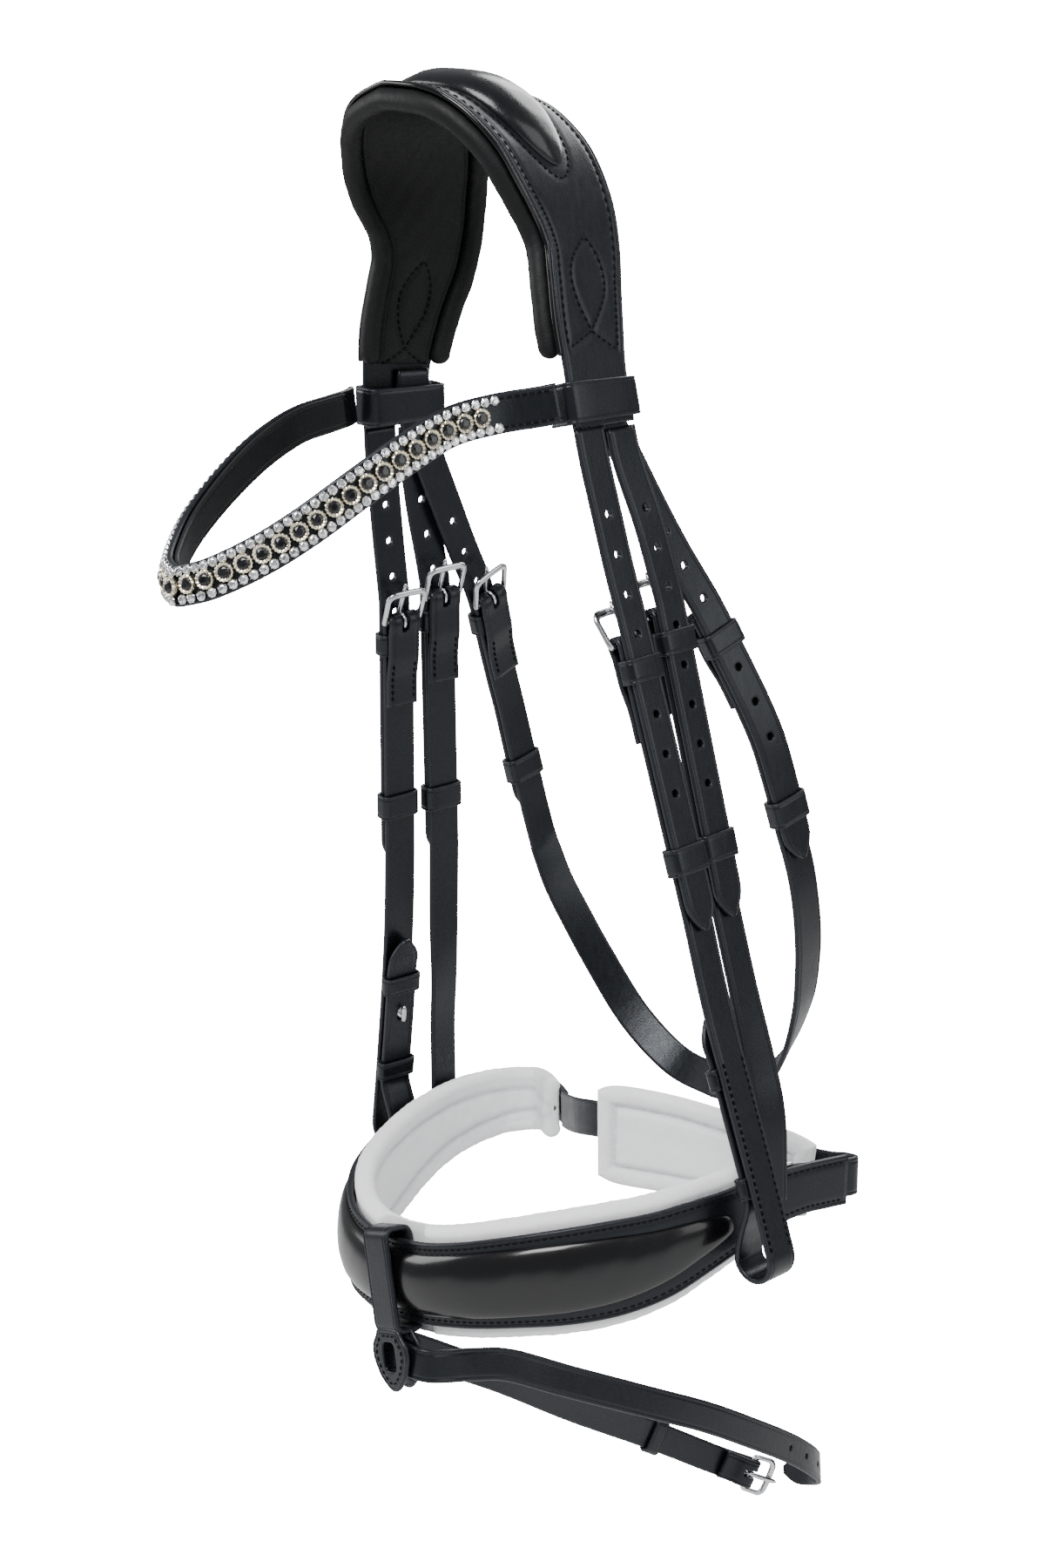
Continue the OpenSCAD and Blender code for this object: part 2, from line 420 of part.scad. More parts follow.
// Stones: a row of large ones in cups between two rows of small crystals
BROW_L = stations(BROW_ALL)[len(BROW_ALL) - 1];
stone_n = 2 * floor((BROW_L / 2 - 26) / stone_pitch) + 1;
crystal_n = 2 * floor((BROW_L / 2 - 24) / crystal_pitch) + 1;
cup_t = 1.6;
module along_brow(n, pitch) for (k = [0:n - 1]) stand(BROW_ALL, BROW_L / 2 + (k - (n - 1) / 2) * pitch) children();
bead_lift = 0.3;
module stone_cups() color("#c9b487") along_brow(stone_n, stone_pitch) translate([0, bead_lift, 0]) rotate([-90, 0, 0])
    cylinder(d = stone_d + 1.2, h = cup_t, $fn = 12);
module black_stones() color("#101012") along_brow(stone_n, stone_pitch)
    translate([0, bead_lift + cup_t + 0.05, 0]) rotate([-90, 0, 0]) intersection() {
        cylinder(d = stone_d, h = 1.8, $fn = 8);
        cylinder(r1 = stone_d / 2 + 0.6, r2 = stone_d / 2 - 1.2, h = 1.8);
    }
module crystal_rows() color("#e8ecef") for (s = [-1, 1]) along_brow(crystal_n, crystal_pitch)
    translate([s * min(brow_h / 2 - crystal_d / 2 - 0.9, (stone_d + crystal_d) / 2 + 1.2), bead_lift, 0]) rotate([-90, 0, 0])
        cylinder(d = crystal_d, h = 1.6, $fn = 6);

// ---------------------------------------------------------------- buckles and loops, standing on a strap
corner_r = 3;
tongue_d = 2.4;
tongue_w = 3.4;
module at_bar() translate([0, -bar_in, 0]) children();
module lean() at_bar() rotate([frame_lean, 0, 0]) children();
module frame(inside = frame_in, h = frame_h) {
    half = (inside + wire_d) / 2;
    rotate([0, 90, 0]) cylinder(d = wire_d, h = 2 * half, center = true);
    translate([0, 0, h]) rotate([0, 90, 0]) cylinder(d = wire_d, h = 2 * (half - corner_r), center = true);
    for (side = [0, 1]) mirror([side, 0, 0]) {
        translate([half, 0, 0]) {
            sphere(d = wire_d);
            cylinder(d = wire_d, h = h - corner_r);
        }
        translate([half - corner_r, 0, h - corner_r]) rotate([90, 0, 0]) rotate_extrude(angle = 90)
            translate([corner_r, 0]) circle(d = wire_d);
    }
}
module tongue(h = frame_h) difference() {
    union() {
        rotate([0, 90, 0]) cylinder(r = wire_r + gap + 1.1, h = tongue_w, center = true);
        translate([0, wire_r + tongue_d / 2 + 0.2, 0]) {
            cylinder(d = tongue_d, h = h + wire_r + 1.4);
            translate([0, 0, h + wire_r + 1.4]) sphere(d = tongue_d);
        }
    }
    rotate([0, 90, 0]) cylinder(r = wire_r + 0.2, h = tongue_w + 1, center = true);
}
// The slot in a fold, through which the tongue comes out
module tongue_slot() translate([-tongue_w / 2 - gap, -fold_r - leather_t, -4.5])
    cube([tongue_w + 2 * gap, 2 * (fold_r + leather_t), 12]);
// A keeper loop round the straps from depth back to the billet's front face
module keeper(back, l = keeper_l, w = strap_w, front = leather_t / 2 + loop_gap, t = keeper_t)
    linear_extrude(height = l, center = true) difference() {
        translate([-w / 2 - loop_gap - t, -back - t]) square([w + 2 * (loop_gap + t), back + front + 2 * t]);
        translate([-w / 2 - loop_gap, -back]) square([w + 2 * loop_gap, back + front]);
    }
keeper_back = layer + leather_t / 2 + 0.1;
runner_back = layer + leather_t / 2 + loop_gap;
runner_l = keeper_l + 1.5;

module at_buckle(L, bar, side) mirror([side, 0, 0]) stand(L, bar) children();
module steel() color("#c8cacd") children();
module leather() color("#23262b") children();
module fixed_keeper(L, bar, side) leather() mirror([side, 0, 0]) stand(L, bar + keeper_at) keeper(keeper_back);
module runner(L, bar, at, side) leather() mirror([side, 0, 0]) stand(L, bar + at) keeper(runner_back, runner_l);

// ---------------------------------------------------------------- cheekpieces
// How deep the return leg lies behind the cheekpiece, and where along it
RETURN = [[6, 2 * bit_r - 2.6], [12, return_stack + 7.2], [18, return_stack + 3], [24.5, return_stack], [42, return_stack],
    [54, return_stack], [66, return_stack], [82, return_stack], [90, return_stack + 1], [return_l, return_stack + 2.4]];
function cheek_route() = let (L = CHEEK, p = place(L, CHEEK_TURN), up = -p[1],
    out = unit(p[2] - (p[2] * up) * up), c = p[0] - out * (layer + bit_r))
    concat(chape(L, CHEEK_BAR), run(L, CHEEK_BAR, CHEEK_TURN - 4),
        [for (a = [90:-22.5:-90]) let (q = out * sin(a) - up * cos(a)) concat(c + q * bit_r, q)],
        [for (s = RETURN) let (r = place(L, CHEEK_TURN - s[0])) concat(r[0] - r[2] * (layer + s[1]), -r[2])]);
module cheek_strap(side) leather() mirror([side, 0, 0]) difference() {
    strap(cheek_route(), strap_w, leather_t, 0, billet_point);
    stand(CHEEK, CHEEK_BAR) at_bar() tongue_slot();
    stand(CHEEK, CHEEK_TURN - stud_up) translate([0, -layer - leather_t, 0]) rotate([90, 0, 0])
        cylinder(d = stud_d + 2 * gap, h = 10);
}
// The hook stud stands on the inside of the cheekpiece and comes through the return leg
module hook_stud(side) steel() mirror([side, 0, 0]) stand(CHEEK, CHEEK_TURN - stud_up) translate([0, -layer, 0]) {
    rotate([90, 0, 0]) translate([0, 0, leather_t / 2 + 0.05]) cylinder(d = 8, h = 0.8);
    rotate([90, 0, 0]) translate([0, 0, leather_t / 2 + 0.05]) cylinder(d = stud_d, h = return_stack + 2.4);
    translate([0, -return_stack - leather_t / 2 - 2.3, 0]) {
        translate([0, 0, -2]) cylinder(d = stud_d, h = 6);
        for (z = [-2, 4]) translate([0, 0, z]) sphere(d = stud_d);
    }
}
// Two keepers lie against the inside of the cheekpiece and hold only the return leg
module bit_keepers(side) leather() mirror([side, 0, 0]) for (s = [bit_keeper_low, bit_keeper_high])
    stand(CHEEK, CHEEK_TURN - s) keeper(layer + return_stack + leather_t / 2 + loop_gap, keeper_l - 1,
        front = -layer - leather_t / 2 - keeper_t - sewn_gap);
module cheek_strap_near() cheek_strap(0);
module cheek_strap_far() cheek_strap(1);
module cheek_frame_near() steel() at_buckle(CHEEK, CHEEK_BAR, 0) lean() frame();
module cheek_frame_far() steel() at_buckle(CHEEK, CHEEK_BAR, 1) lean() frame();
module cheek_tongue_near() steel() at_buckle(CHEEK, CHEEK_BAR, 0) lean() tongue();
module cheek_tongue_far() steel() at_buckle(CHEEK, CHEEK_BAR, 1) lean() tongue();
module cheek_keeper_near() fixed_keeper(CHEEK, CHEEK_BAR, 0);
module cheek_keeper_far() fixed_keeper(CHEEK, CHEEK_BAR, 1);
module cheek_runner_near() runner(CHEEK, CHEEK_BAR, cheek_runner, 0);
module cheek_runner_far() runner(CHEEK, CHEEK_BAR, cheek_runner, 1);
module hook_stud_near() hook_stud(0);
module hook_stud_far() hook_stud(1);
module bit_keepers_near() bit_keepers(0);
module bit_keepers_far() bit_keepers(1);

// ---------------------------------------------------------------- noseband hangers
HANGER_END = stations(HANGER)[len(HANGER) - 1];
module hanger_strap(side) leather() mirror([side, 0, 0]) difference() {
    strap(concat(chape(HANGER, HANGER_BAR), run(HANGER, HANGER_BAR, HANGER_END)), strap_w, leather_t);
    stand(HANGER, HANGER_BAR) at_bar() tongue_slot();
}
module hanger_strap_near() hanger_strap(0);
module hanger_strap_far() hanger_strap(1);
module hanger_frame_near() steel() at_buckle(HANGER, HANGER_BAR, 0) lean() frame();
module hanger_frame_far() steel() at_buckle(HANGER, HANGER_BAR, 1) lean() frame();
module hanger_tongue_near() steel() at_buckle(HANGER, HANGER_BAR, 0) lean() tongue();
module hanger_tongue_far() steel() at_buckle(HANGER, HANGER_BAR, 1) lean() tongue();
module hanger_keeper_near() fixed_keeper(HANGER, HANGER_BAR, 0);
module hanger_keeper_far() fixed_keeper(HANGER, HANGER_BAR, 1);
module hanger_runner_near() runner(HANGER, HANGER_BAR, hanger_runner, 0);
module hanger_runner_far() runner(HANGER, HANGER_BAR, hanger_runner, 1);

// ---------------------------------------------------------------- throatlatch
THROAT_L = stations(THROAT_ALL)[len(THROAT_ALL) - 1];
// The far stretch below the last chosen point is the mirror image of the near one
function throat_far_top() = let (R = shifted(cut(THROAT, THROAT_BAR + 6, down_to(THROAT, -325)), -layer))
    reversed(mirrored(R));
module throat_strap() leather() difference() {
    strap(concat(chape(THROAT, THROAT_BAR), shifted(cut(THROAT_ALL, THROAT_BAR + 6, THROAT_L), -layer),
        throat_far_top(), reversed(mirrored(chape(THROAT, THROAT_BAR)))), strap_w, leather_t);
    for (side = [0, 1]) mirror([side, 0, 0]) stand(THROAT, THROAT_BAR) at_bar() tongue_slot();
}
module throat_frame_near() steel() at_buckle(THROAT, THROAT_BAR, 0) lean() frame();
module throat_frame_far() steel() at_buckle(THROAT, THROAT_BAR, 1) lean() frame();
module throat_tongue_near() steel() at_buckle(THROAT, THROAT_BAR, 0) lean() tongue();
module throat_tongue_far() steel() at_buckle(THROAT, THROAT_BAR, 1) lean() tongue();
module throat_keeper_near() fixed_keeper(THROAT, THROAT_BAR, 0);
module throat_keeper_far() fixed_keeper(THROAT, THROAT_BAR, 1);
module throat_runner_near() runner(THROAT, THROAT_BAR, throat_runner, 0);
module throat_runner_far() runner(THROAT, THROAT_BAR, throat_runner, 1);

// ---------------------------------------------------------------- noseband
nose_band_t = 3;
nose_back = nose_band_t + nose_lining_t / 2 + 0.5;
NOSE_MID = len(fine(concat([NOSE[0]], NOSE_FAR), 2)) - 1;
module nose_band() color("#1d1f23") wide_strap(shifted(NOSE_ALL, -nose_band_t / 2), nose_band_t);
module nose_dome() color("#202328")
    bulge(shifted([for (i = [NOSE_MID - 16:NOSE_MID + 16]) NOSE_ALL[i]], 0.4), nose_dome_h, 9);
// Room in the lining beside the carrier and in front of its back
pocket_side = 7;
pocket_front = 3;
module nose_lining() color("#eef1f4") difference() {
    pad(shifted([for (i = [0:NOSE_MID + 17]) NOSE_ALL[i]], -nose_back), nose_lining_t, 2 * nose_lining_over);
    carrier_place() translate([-carrier_w / 2 - pocket_side, carrier_back - pocket_front, nose_z - 27])
        cube([carrier_w + 2 * pocket_side, carrier_t + pocket_front + 0.5, 60]);
}
// The chin strap's end is folded round the bar of the crank buckle
CRANK = fine(JAW_TURN, 3);
CRANK_L = stations(CRANK)[len(CRANK) - 1];
crank_h = 12;
module crank_place() stand(CRANK, CRANK_L) translate([0, -fold_r, 0]) rotate([180, 0, 0]) children();
module jaw_strap() color("#17191c") difference() {
    strap(turned(join(fine(concat(JAW, [JAW_TURN[0]]), 2), CRANK)), jaw_w, leather_t);
    crank_place() tongue_slot();
}
module chin_pad() color("#eef1f4") pad(fine(CHIN, 2), chin_t);
module crank_frame() steel() crank_place() frame(jaw_w + 2 * gap, crank_h);
module crank_tongue() steel() crank_place() tongue(crank_h);

// ---------------------------------------------------------------- flash
carrier_t = 2.4;
carrier_lean = -12;
// Room inside the carrier: front to back round the noseband, top to bottom, and at the flash strap
carrier_front = -40.8;
carrier_back = -30.6;
window_h = 41;
strap_back = -36.2;
nose_z = -487;
lozenge_z = -519;
module carrier_place() translate([0, 0, nose_z]) rotate([0, carrier_lean, 0]) translate([0, 0, -nose_z]) children();
module flash_carrier() color("#23262b") carrier_place() {
    rotate([90, 0, 90]) linear_extrude(height = carrier_w, center = true) difference() {
        translate([carrier_front - carrier_t, nose_z - window_h / 2 - carrier_t])
            square([carrier_back - carrier_front + 2 * carrier_t, window_h + 2 * carrier_t]);
        translate([carrier_front, nose_z - window_h / 2]) square([carrier_back - carrier_front, window_h]);
    }
    for (y = [carrier_front, strap_back + carrier_t]) translate([0, y, 0]) rotate([90, 0, 0])
        linear_extrude(height = carrier_t) difference() {
            polygon([[-8, -508], [8, -508], [12, -513], [12.5, -520], [9, -528], [3, -534], [-3, -534], [-9, -528],
                [-12.5, -520], [-12, -513]]);
            if (y == carrier_front) translate([0, lozenge_z]) square([8, 12], center = true);
        }
    translate([-4, carrier_front - 0.5, lozenge_z - 14]) cube([8, strap_back - carrier_front + 1, 4]);
}
FLASH_FRONT = fine(FLASH, 2);
FLASH_BACK = fine(concat([FLASH[0]], FLASH_FAR), 2);
FLASH_ALL = join(reversed(FLASH_BACK), FLASH_FRONT);
FLASH_TIP = stations(FLASH_FRONT)[len(FLASH_FRONT) - 1];
FLASH_END = stations(FLASH_BACK)[len(FLASH_BACK) - 1];
flash_h = 12;
flash_holes = 4;
flash_point = 10;
// The buckle end of the flash strap: the runner, then the fold round the bar
flash_runner_at = 62;
module flash_place() stand(FLASH_BACK, FLASH_END) translate([0, -fold_r, 0]) rotate([180, 0, 0]) children();
module flash_strap() color("#23262b") difference() {
    strap(concat(reversed(turned(FLASH_BACK)), [for (i = [1:len(FLASH_FRONT) - 1]) FLASH_FRONT[i]]), flash_w, flash_t,
        0, flash_point);
    flash_place() tongue_slot();
    for (k = [1:flash_holes]) stand(FLASH_FRONT, FLASH_TIP - 8 - k * hole_pitch) rotate([90, 0, 0])
        cylinder(d = hole_d - 0.8, h = 8, center = true);
}
module flash_frame() steel() flash_place() frame(flash_w + 2 * gap, flash_h);
module flash_tongue() steel() flash_place() tongue(flash_h);
module flash_runner() leather() stand(FLASH_BACK, FLASH_END - flash_runner_at)
    keeper(flash_t / 2 + loop_gap, keeper_l - 1, flash_w, flash_t / 2 + loop_gap);

crown_strap();
crown_lining();
lining_roll_front();
lining_roll_back();
patent_piping();
poll_dome();
throat_billet_near();
throat_billet_far();
browband_strap();
browband_lining();
browband_loop_near();
browband_loop_far();
stone_cups();
black_stones();
crystal_rows();
cheek_strap_near();
cheek_frame_near();
cheek_tongue_near();
cheek_keeper_near();
cheek_runner_near();
hook_stud_near();
bit_keepers_near();
cheek_strap_far();
cheek_frame_far();
cheek_tongue_far();
cheek_keeper_far();
cheek_runner_far();
hook_stud_far();
bit_keepers_far();
hanger_strap_near();
hanger_frame_near();
hanger_tongue_near();
hanger_keeper_near();
hanger_runner_near();
hanger_strap_far();
hanger_frame_far();
hanger_tongue_far();
hanger_keeper_far();
hanger_runner_far();
throat_strap();
throat_frame_near();
throat_tongue_near();
throat_keeper_near();
throat_runner_near();
throat_frame_far();
throat_tongue_far();
throat_keeper_far();
throat_runner_far();
nose_band();
nose_dome();
nose_lining();
jaw_strap();
chin_pad();
crank_frame();
crank_tongue();
flash_carrier();
flash_strap();
flash_frame();
flash_tongue();
flash_runner();
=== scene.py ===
# A full-size snaffle bridle without bit or reins, hanging by its headpiece.
# Sizes in the sections are millimetres in the part's own frame; every mesh is written in metres.
import bpy
import numpy as np
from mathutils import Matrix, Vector


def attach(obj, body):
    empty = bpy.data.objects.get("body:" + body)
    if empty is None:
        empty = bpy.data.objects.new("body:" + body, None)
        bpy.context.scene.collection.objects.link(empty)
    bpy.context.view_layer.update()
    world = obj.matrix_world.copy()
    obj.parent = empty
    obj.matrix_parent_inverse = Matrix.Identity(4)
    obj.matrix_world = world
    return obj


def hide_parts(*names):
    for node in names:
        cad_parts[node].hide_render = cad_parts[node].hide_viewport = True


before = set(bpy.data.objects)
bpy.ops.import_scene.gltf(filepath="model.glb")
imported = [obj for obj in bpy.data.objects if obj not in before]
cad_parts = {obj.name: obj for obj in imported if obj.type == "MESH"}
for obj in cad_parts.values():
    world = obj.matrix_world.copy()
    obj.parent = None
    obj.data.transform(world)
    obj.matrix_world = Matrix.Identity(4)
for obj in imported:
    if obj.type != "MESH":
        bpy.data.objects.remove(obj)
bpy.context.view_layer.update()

# ---------------------------------------------------------------- the studio
# A long lens looks slightly down on the near side of the bridle, from a little in front of it.
# The room is a plain pale floor and a pale sky, with one large soft lamp over the camera and two beside it.
camera = bpy.data.objects.new("camera", bpy.data.cameras.new("camera"))
bpy.context.scene.collection.objects.link(camera)
bpy.context.scene.camera = camera
camera.location = (0.8135, -0.6467, -0.1253)
aim = Vector((0.0177, 0.0211, -0.2780))
camera.rotation_euler = (aim - camera.location).to_track_quat("-Z", "Y").to_euler()
camera.data.sensor_fit = "VERTICAL"
camera.data.sensor_height = 36
camera.data.lens = 57.12

for name, place, side, watts in (("key lamp", (0.65, -1.1, 1.15), 0.9, 50),
                                 ("window lamp", (-1.3, -1.0, 0.4), 1.0, 20),
                                 ("side lamp", (1.6, 0.55, 0.35), 1.4, 15),
                                 ("back lamp", (-0.5, 1.5, 0.9), 1.2, 26)):
    lamp = bpy.data.objects.new(name, bpy.data.lights.new(name, "AREA"))
    lamp.data.size = side
    lamp.data.energy = watts
    lamp.location = place
    lamp.rotation_euler = (Vector((0, 0.03, -0.3)) - lamp.location).to_track_quat("-Z", "Y").to_euler()
    bpy.context.scene.collection.objects.link(lamp)


class Wire:
    """A socket of a finish's node tree. Arithmetic on it adds Math nodes; node() adds a node of any other
    kind."""

    def __init__(self, tree, socket=None):
        self.tree, self.socket = tree, socket

    def node(self, kind, settings, sockets, out=0):
        made = self.tree.nodes.new("ShaderNode" + kind)
        for key, value in settings.items():
            if key == "stops":
                while len(made.color_ramp.elements) < len(value):
                    made.color_ramp.elements.new(0.5)
                for stop, (at, tone) in zip(made.color_ramp.elements, value):
                    stop.position, stop.color = at, (tone, tone, tone, 1)
            else:
                setattr(made, key, value)
        for key, value in sockets.items():
            if isinstance(value, Wire):
                self.tree.links.new(value.socket, made.inputs[key])
            else:
                made.inputs[key].default_value = value
        return Wire(self.tree, made.outputs[out] if made.outputs else None)

    def maths(self, kind, a, b=0.0):
        return self.node("Math", {"operation": kind}, {0: a, 1: b})

    def blend(self, share, a, b):
        return self.node("Mix", {"data_type": "RGBA"}, {0: share, 6: a, 7: b}, 2)

    def noise(self, at, scale, detail=2.0, rough=0.5):
        return self.node("TexNoise", {}, {"Vector": at, "Scale": scale, "Detail": detail, "Roughness": rough})

    def __add__(self, other):
        return self.maths("ADD", self, other)

    def __sub__(self, other):
        return self.maths("SUBTRACT", self, other)

    def __rsub__(self, other):
        return self.maths("SUBTRACT", other, self)

    def __mul__(self, other):
        return self.maths("MULTIPLY", self, other)

    __radd__, __rmul__ = __add__, __mul__


def finish(name, changing, **uniform):
    """A material: changing(wire) gives the sockets that vary over the surface, uniform the ones that
    don't."""
    material = bpy.data.materials.new(name)
    material.use_nodes = True
    material.node_tree.nodes.clear()
    wire = Wire(material.node_tree)
    sockets = {key.replace("_", " ").title().replace("Ior", "IOR"): value for key, value in uniform.items()}
    shader = wire.node("BsdfPrincipled", {}, {**sockets, **changing(wire)})
    wire.node("OutputMaterial", {}, {"Surface": shader})
    return material


def mesh_object(name, points, quads):
    """A smooth-shaded object from points in millimetres and quads, with its place in its mesh."""
    name = name.replace(" ", "_")
    mesh = bpy.data.meshes.new(name)
    mesh.from_pydata((np.asarray(points).reshape(-1, 3) * 0.001).tolist(), [], np.asarray(quads).tolist())
    mesh.shade_smooth()
    thing = bpy.data.objects.new(name, mesh)
    bpy.context.scene.collection.objects.link(thing)
    return thing


def painted_floor(wire):
    """Matt paint with a slow cloud in its tone."""
    at = wire.node("TexCoord", {}, {}, "Object")
    cloud = wire.noise(at, 3.0)
    return {"Base Color": wire.blend(cloud, (0.74, 0.74, 0.74, 1), (0.80, 0.80, 0.80, 1)),
            "Roughness": 0.55 + cloud * 0.1}


# Floor and sky are burnt out to white in the picture, as over a lit backdrop, and light the leather only
# softly.
floor = mesh_object("floor", [(-9000, -9000, -760), (9000, -9000, -760), (9000, 9000, -760),
                              (-9000, 9000, -760)], [(0, 1, 2, 3)])
paint = finish("matt pale floor", painted_floor)
wire = Wire(paint.node_tree)
glare = wire.node("Emission", {}, {"Color": (1, 1, 1, 1), "Strength": 28.0})
seen = wire.node("LightPath", {}, {}, "Is Camera Ray") * 0.85
shader = Wire(paint.node_tree, paint.node_tree.nodes["Principled BSDF"].outputs[0])
wire.node("OutputMaterial", {}, {"Surface": wire.node("MixShader", {}, {0: seen, 1: shader, 2: glare})})
paint.node_tree.nodes.remove(paint.node_tree.nodes["Material Output"])
floor.data.materials.append(paint)
sky = bpy.data.worlds.new("pale room")
bpy.context.scene.world = sky
sky.use_nodes = True
wire = Wire(sky.node_tree)
sky.node_tree.links.new((wire.node("LightPath", {}, {}, "Is Camera Ray") * 24.0 + 0.34).socket,
                        sky.node_tree.nodes["Background"].inputs["Strength"])
sky.node_tree.nodes["Background"].inputs["Color"].default_value = (0.96, 0.98, 1.0, 1)

# ---------------------------------------------------------------- headpiece leather
# One piece of waxed bridle leather, 2.6 mm thick: broad over the poll, slit below the browband into a
# cheek billet and a noseband billet on each side. Its edges are rounded and creased, and it is stitched
# to the lining.


def dyed_hide(deep, pale, gloss, grain=0.25, pores=1500.0, mottle=30.0):
    """Dyed leather: two mottled tones, pores and fine wrinkles in the bump, paler and duller where it is
    rubbed."""
    def changing(wire):
        at = wire.node("TexCoord", {}, {}, "Object")
        cloud = wire.noise(at, mottle, 5.0, 0.6)
        streak = wire.noise(wire.node("Mapping", {}, {"Vector": at, "Scale": (1.0, 1.0, 0.35)}), 420.0, 3.0)
        pore = wire.node("TexVoronoi", {"feature": "SMOOTH_F1"},
                         {"Vector": at, "Scale": pores, "Smoothness": 0.6})
        rub = wire.node("Attribute", {"attribute_name": "rub"}, {}, "Fac")
        share = wire.node("ValToRGB", {"stops": [(0.3, 0.0), (0.7, 1.0)]}, {"Fac": cloud})
        tone = wire.blend(share, deep, pale)
        worn = tuple(min(1.0, v * 1.9 + 0.006) for v in pale[:3]) + (1,)
        tone = wire.blend(rub * (0.35 + cloud * 0.5), tone, worn)
        height = pore * 0.6 + streak * 0.5
        bump = wire.node("Bump", {}, {"Strength": grain, "Distance": 0.0003, "Height": height})
        return {"Base Color": tone, "Roughness": gloss + (streak - 0.5) * 0.22 + rub * 0.12, "Normal": bump}
    return changing


bridle_look = dyed_hide((0.0020, 0.0024, 0.0036, 1), (0.0042, 0.0049, 0.0068, 1), 0.33)
bridle_hide = finish("waxed bridle leather", bridle_look, coat_weight=0.1, coat_roughness=0.22,
                     specular_ior_level=0.3, specular_tint=(0.86, 0.92, 1.0, 1))
thread_look = dyed_hide((0.0006, 0.0007, 0.0009, 1), (0.0018, 0.002, 0.0024, 1), 0.6, 0.5, 4000.0)
thread = finish("black waxed thread", thread_look, specular_ior_level=0.12)


def curve(rows, per):
    """Catmull-Rom curve, per steps to a stretch: (2b + (c - a)t + (2a - 5b + 4c - d)t2 + (3b - a - 3c +
    d)t3) / 2."""
    rows = np.asarray(rows, float)
    led = np.vstack([2 * rows[0] - rows[1], rows, 2 * rows[-1] - rows[-2]])
    a, b, c, d = (led[k:k + len(rows) - 1, None] for k in range(4))
    t = (np.arange(per) / per)[None, :, None]
    out = (2 * b + (c - a) * t + (2 * a - 5 * b + 4 * c - d) * t ** 2 + (3 * b - a - 3 * c + d) * t ** 3) / 2
    return np.vstack([out.reshape(-1, rows.shape[1]), rows[-1:]])


def to_far(rows):
    """The rows of the far side: the near side's mirrored in the middle of the horse."""
    rows = np.array(rows, float)
    rows[:, [0, 3]] *= -1
    return rows


def unit(v):
    """The vectors v at length 1."""
    return v / np.linalg.norm(v, axis=-1, keepdims=True)


class Way:
    """A line along the leather: points p, forward t, outward o and crosswise a = o x t at distances s.
    lay(s, x, h) is the point x across and h above it: p(s) + x a(s) + h o(s)."""

    def __init__(self, rows):
        rows = np.asarray(rows, float)
        self.rows, self.p = rows, rows[:, :3]
        self.t = unit(np.gradient(self.p, axis=0))
        self.o = unit(rows[:, 3:6] - (rows[:, 3:6] * self.t).sum(1, keepdims=True) * self.t)
        self.a = np.cross(self.o, self.t)
        self.s = np.r_[0, np.cumsum(np.linalg.norm(np.diff(self.p, axis=0), axis=1))]
        self.long = self.s[-1]

    def of(self, field, s):
        return np.stack([np.interp(s, self.s, field[:, k]) for k in range(3)], -1)

    def lay(self, s, x, h):
        s, x, h = np.broadcast_arrays(s, x, h)
        return self.of(self.p, s) + self.of(self.a, s) * x[..., None] + self.of(self.o, s) * h[..., None]

    def wide(self, s):
        return np.interp(s, self.s, self.rows[:, 6])

    def down_to(self, z):
        """Distance to a height, on a route that falls."""
        return float(np.interp(-z, -self.p[:, 2], self.s))

    def cut(self, a, b, lift=0.0, face=1, n=None):
        """The rows between two distances, lifted along the outward normal and facing out (1) or in (-1)."""
        s = np.linspace(a, b, n or max(2, int(abs(b - a) / 4) + 2))
        o = unit(self.of(self.o, s))
        return np.hstack([self.of(self.p, s) + o * lift, o * face])


def net(n, m, ring=True, loop=False):
    """Quads of an n by m grid, closed round its second direction if ring, and along its first if loop."""
    i = np.arange(n if loop else n - 1)[:, None]
    j = np.arange(m if ring else m - 1)[None, :]
    up, right = (i + 1) % n, (j + 1) % m
    return np.stack([i * m + j, i * m + right, up * m + right, up * m + j], -1).reshape(-1, 4)


def ends(n, m):
    """Quads that close both ends of a tube of n rings of m points, m even."""
    j = np.arange(m // 2 - 1)
    cap = np.stack([j, j + 1, m - 2 - j, m - 1 - j], -1)
    return np.vstack([cap[:, ::-1], cap + (n - 1) * m])


def outward(points, quads):
    """Turns a closed shell's quads so that its volume, a sum of a . (b x c) / 6 over triangles, is
    positive."""
    q = points.reshape(-1, 3)[quads]
    v = sum(np.einsum("ij,ij->i", q[:, 0], np.cross(q[:, k], q[:, k + 1])).sum() for k in (1, 2))
    return quads if v > 0 else quads[:, ::-1]


def gather(parts):
    """Several (points, quads, rub) shells as one."""
    base = np.cumsum([0] + [len(p[0]) for p in parts])
    return (np.vstack([p[0] for p in parts]), np.vstack([p[1] + b for p, b in zip(parts, base)]),
            np.concatenate([p[2] for p in parts]))


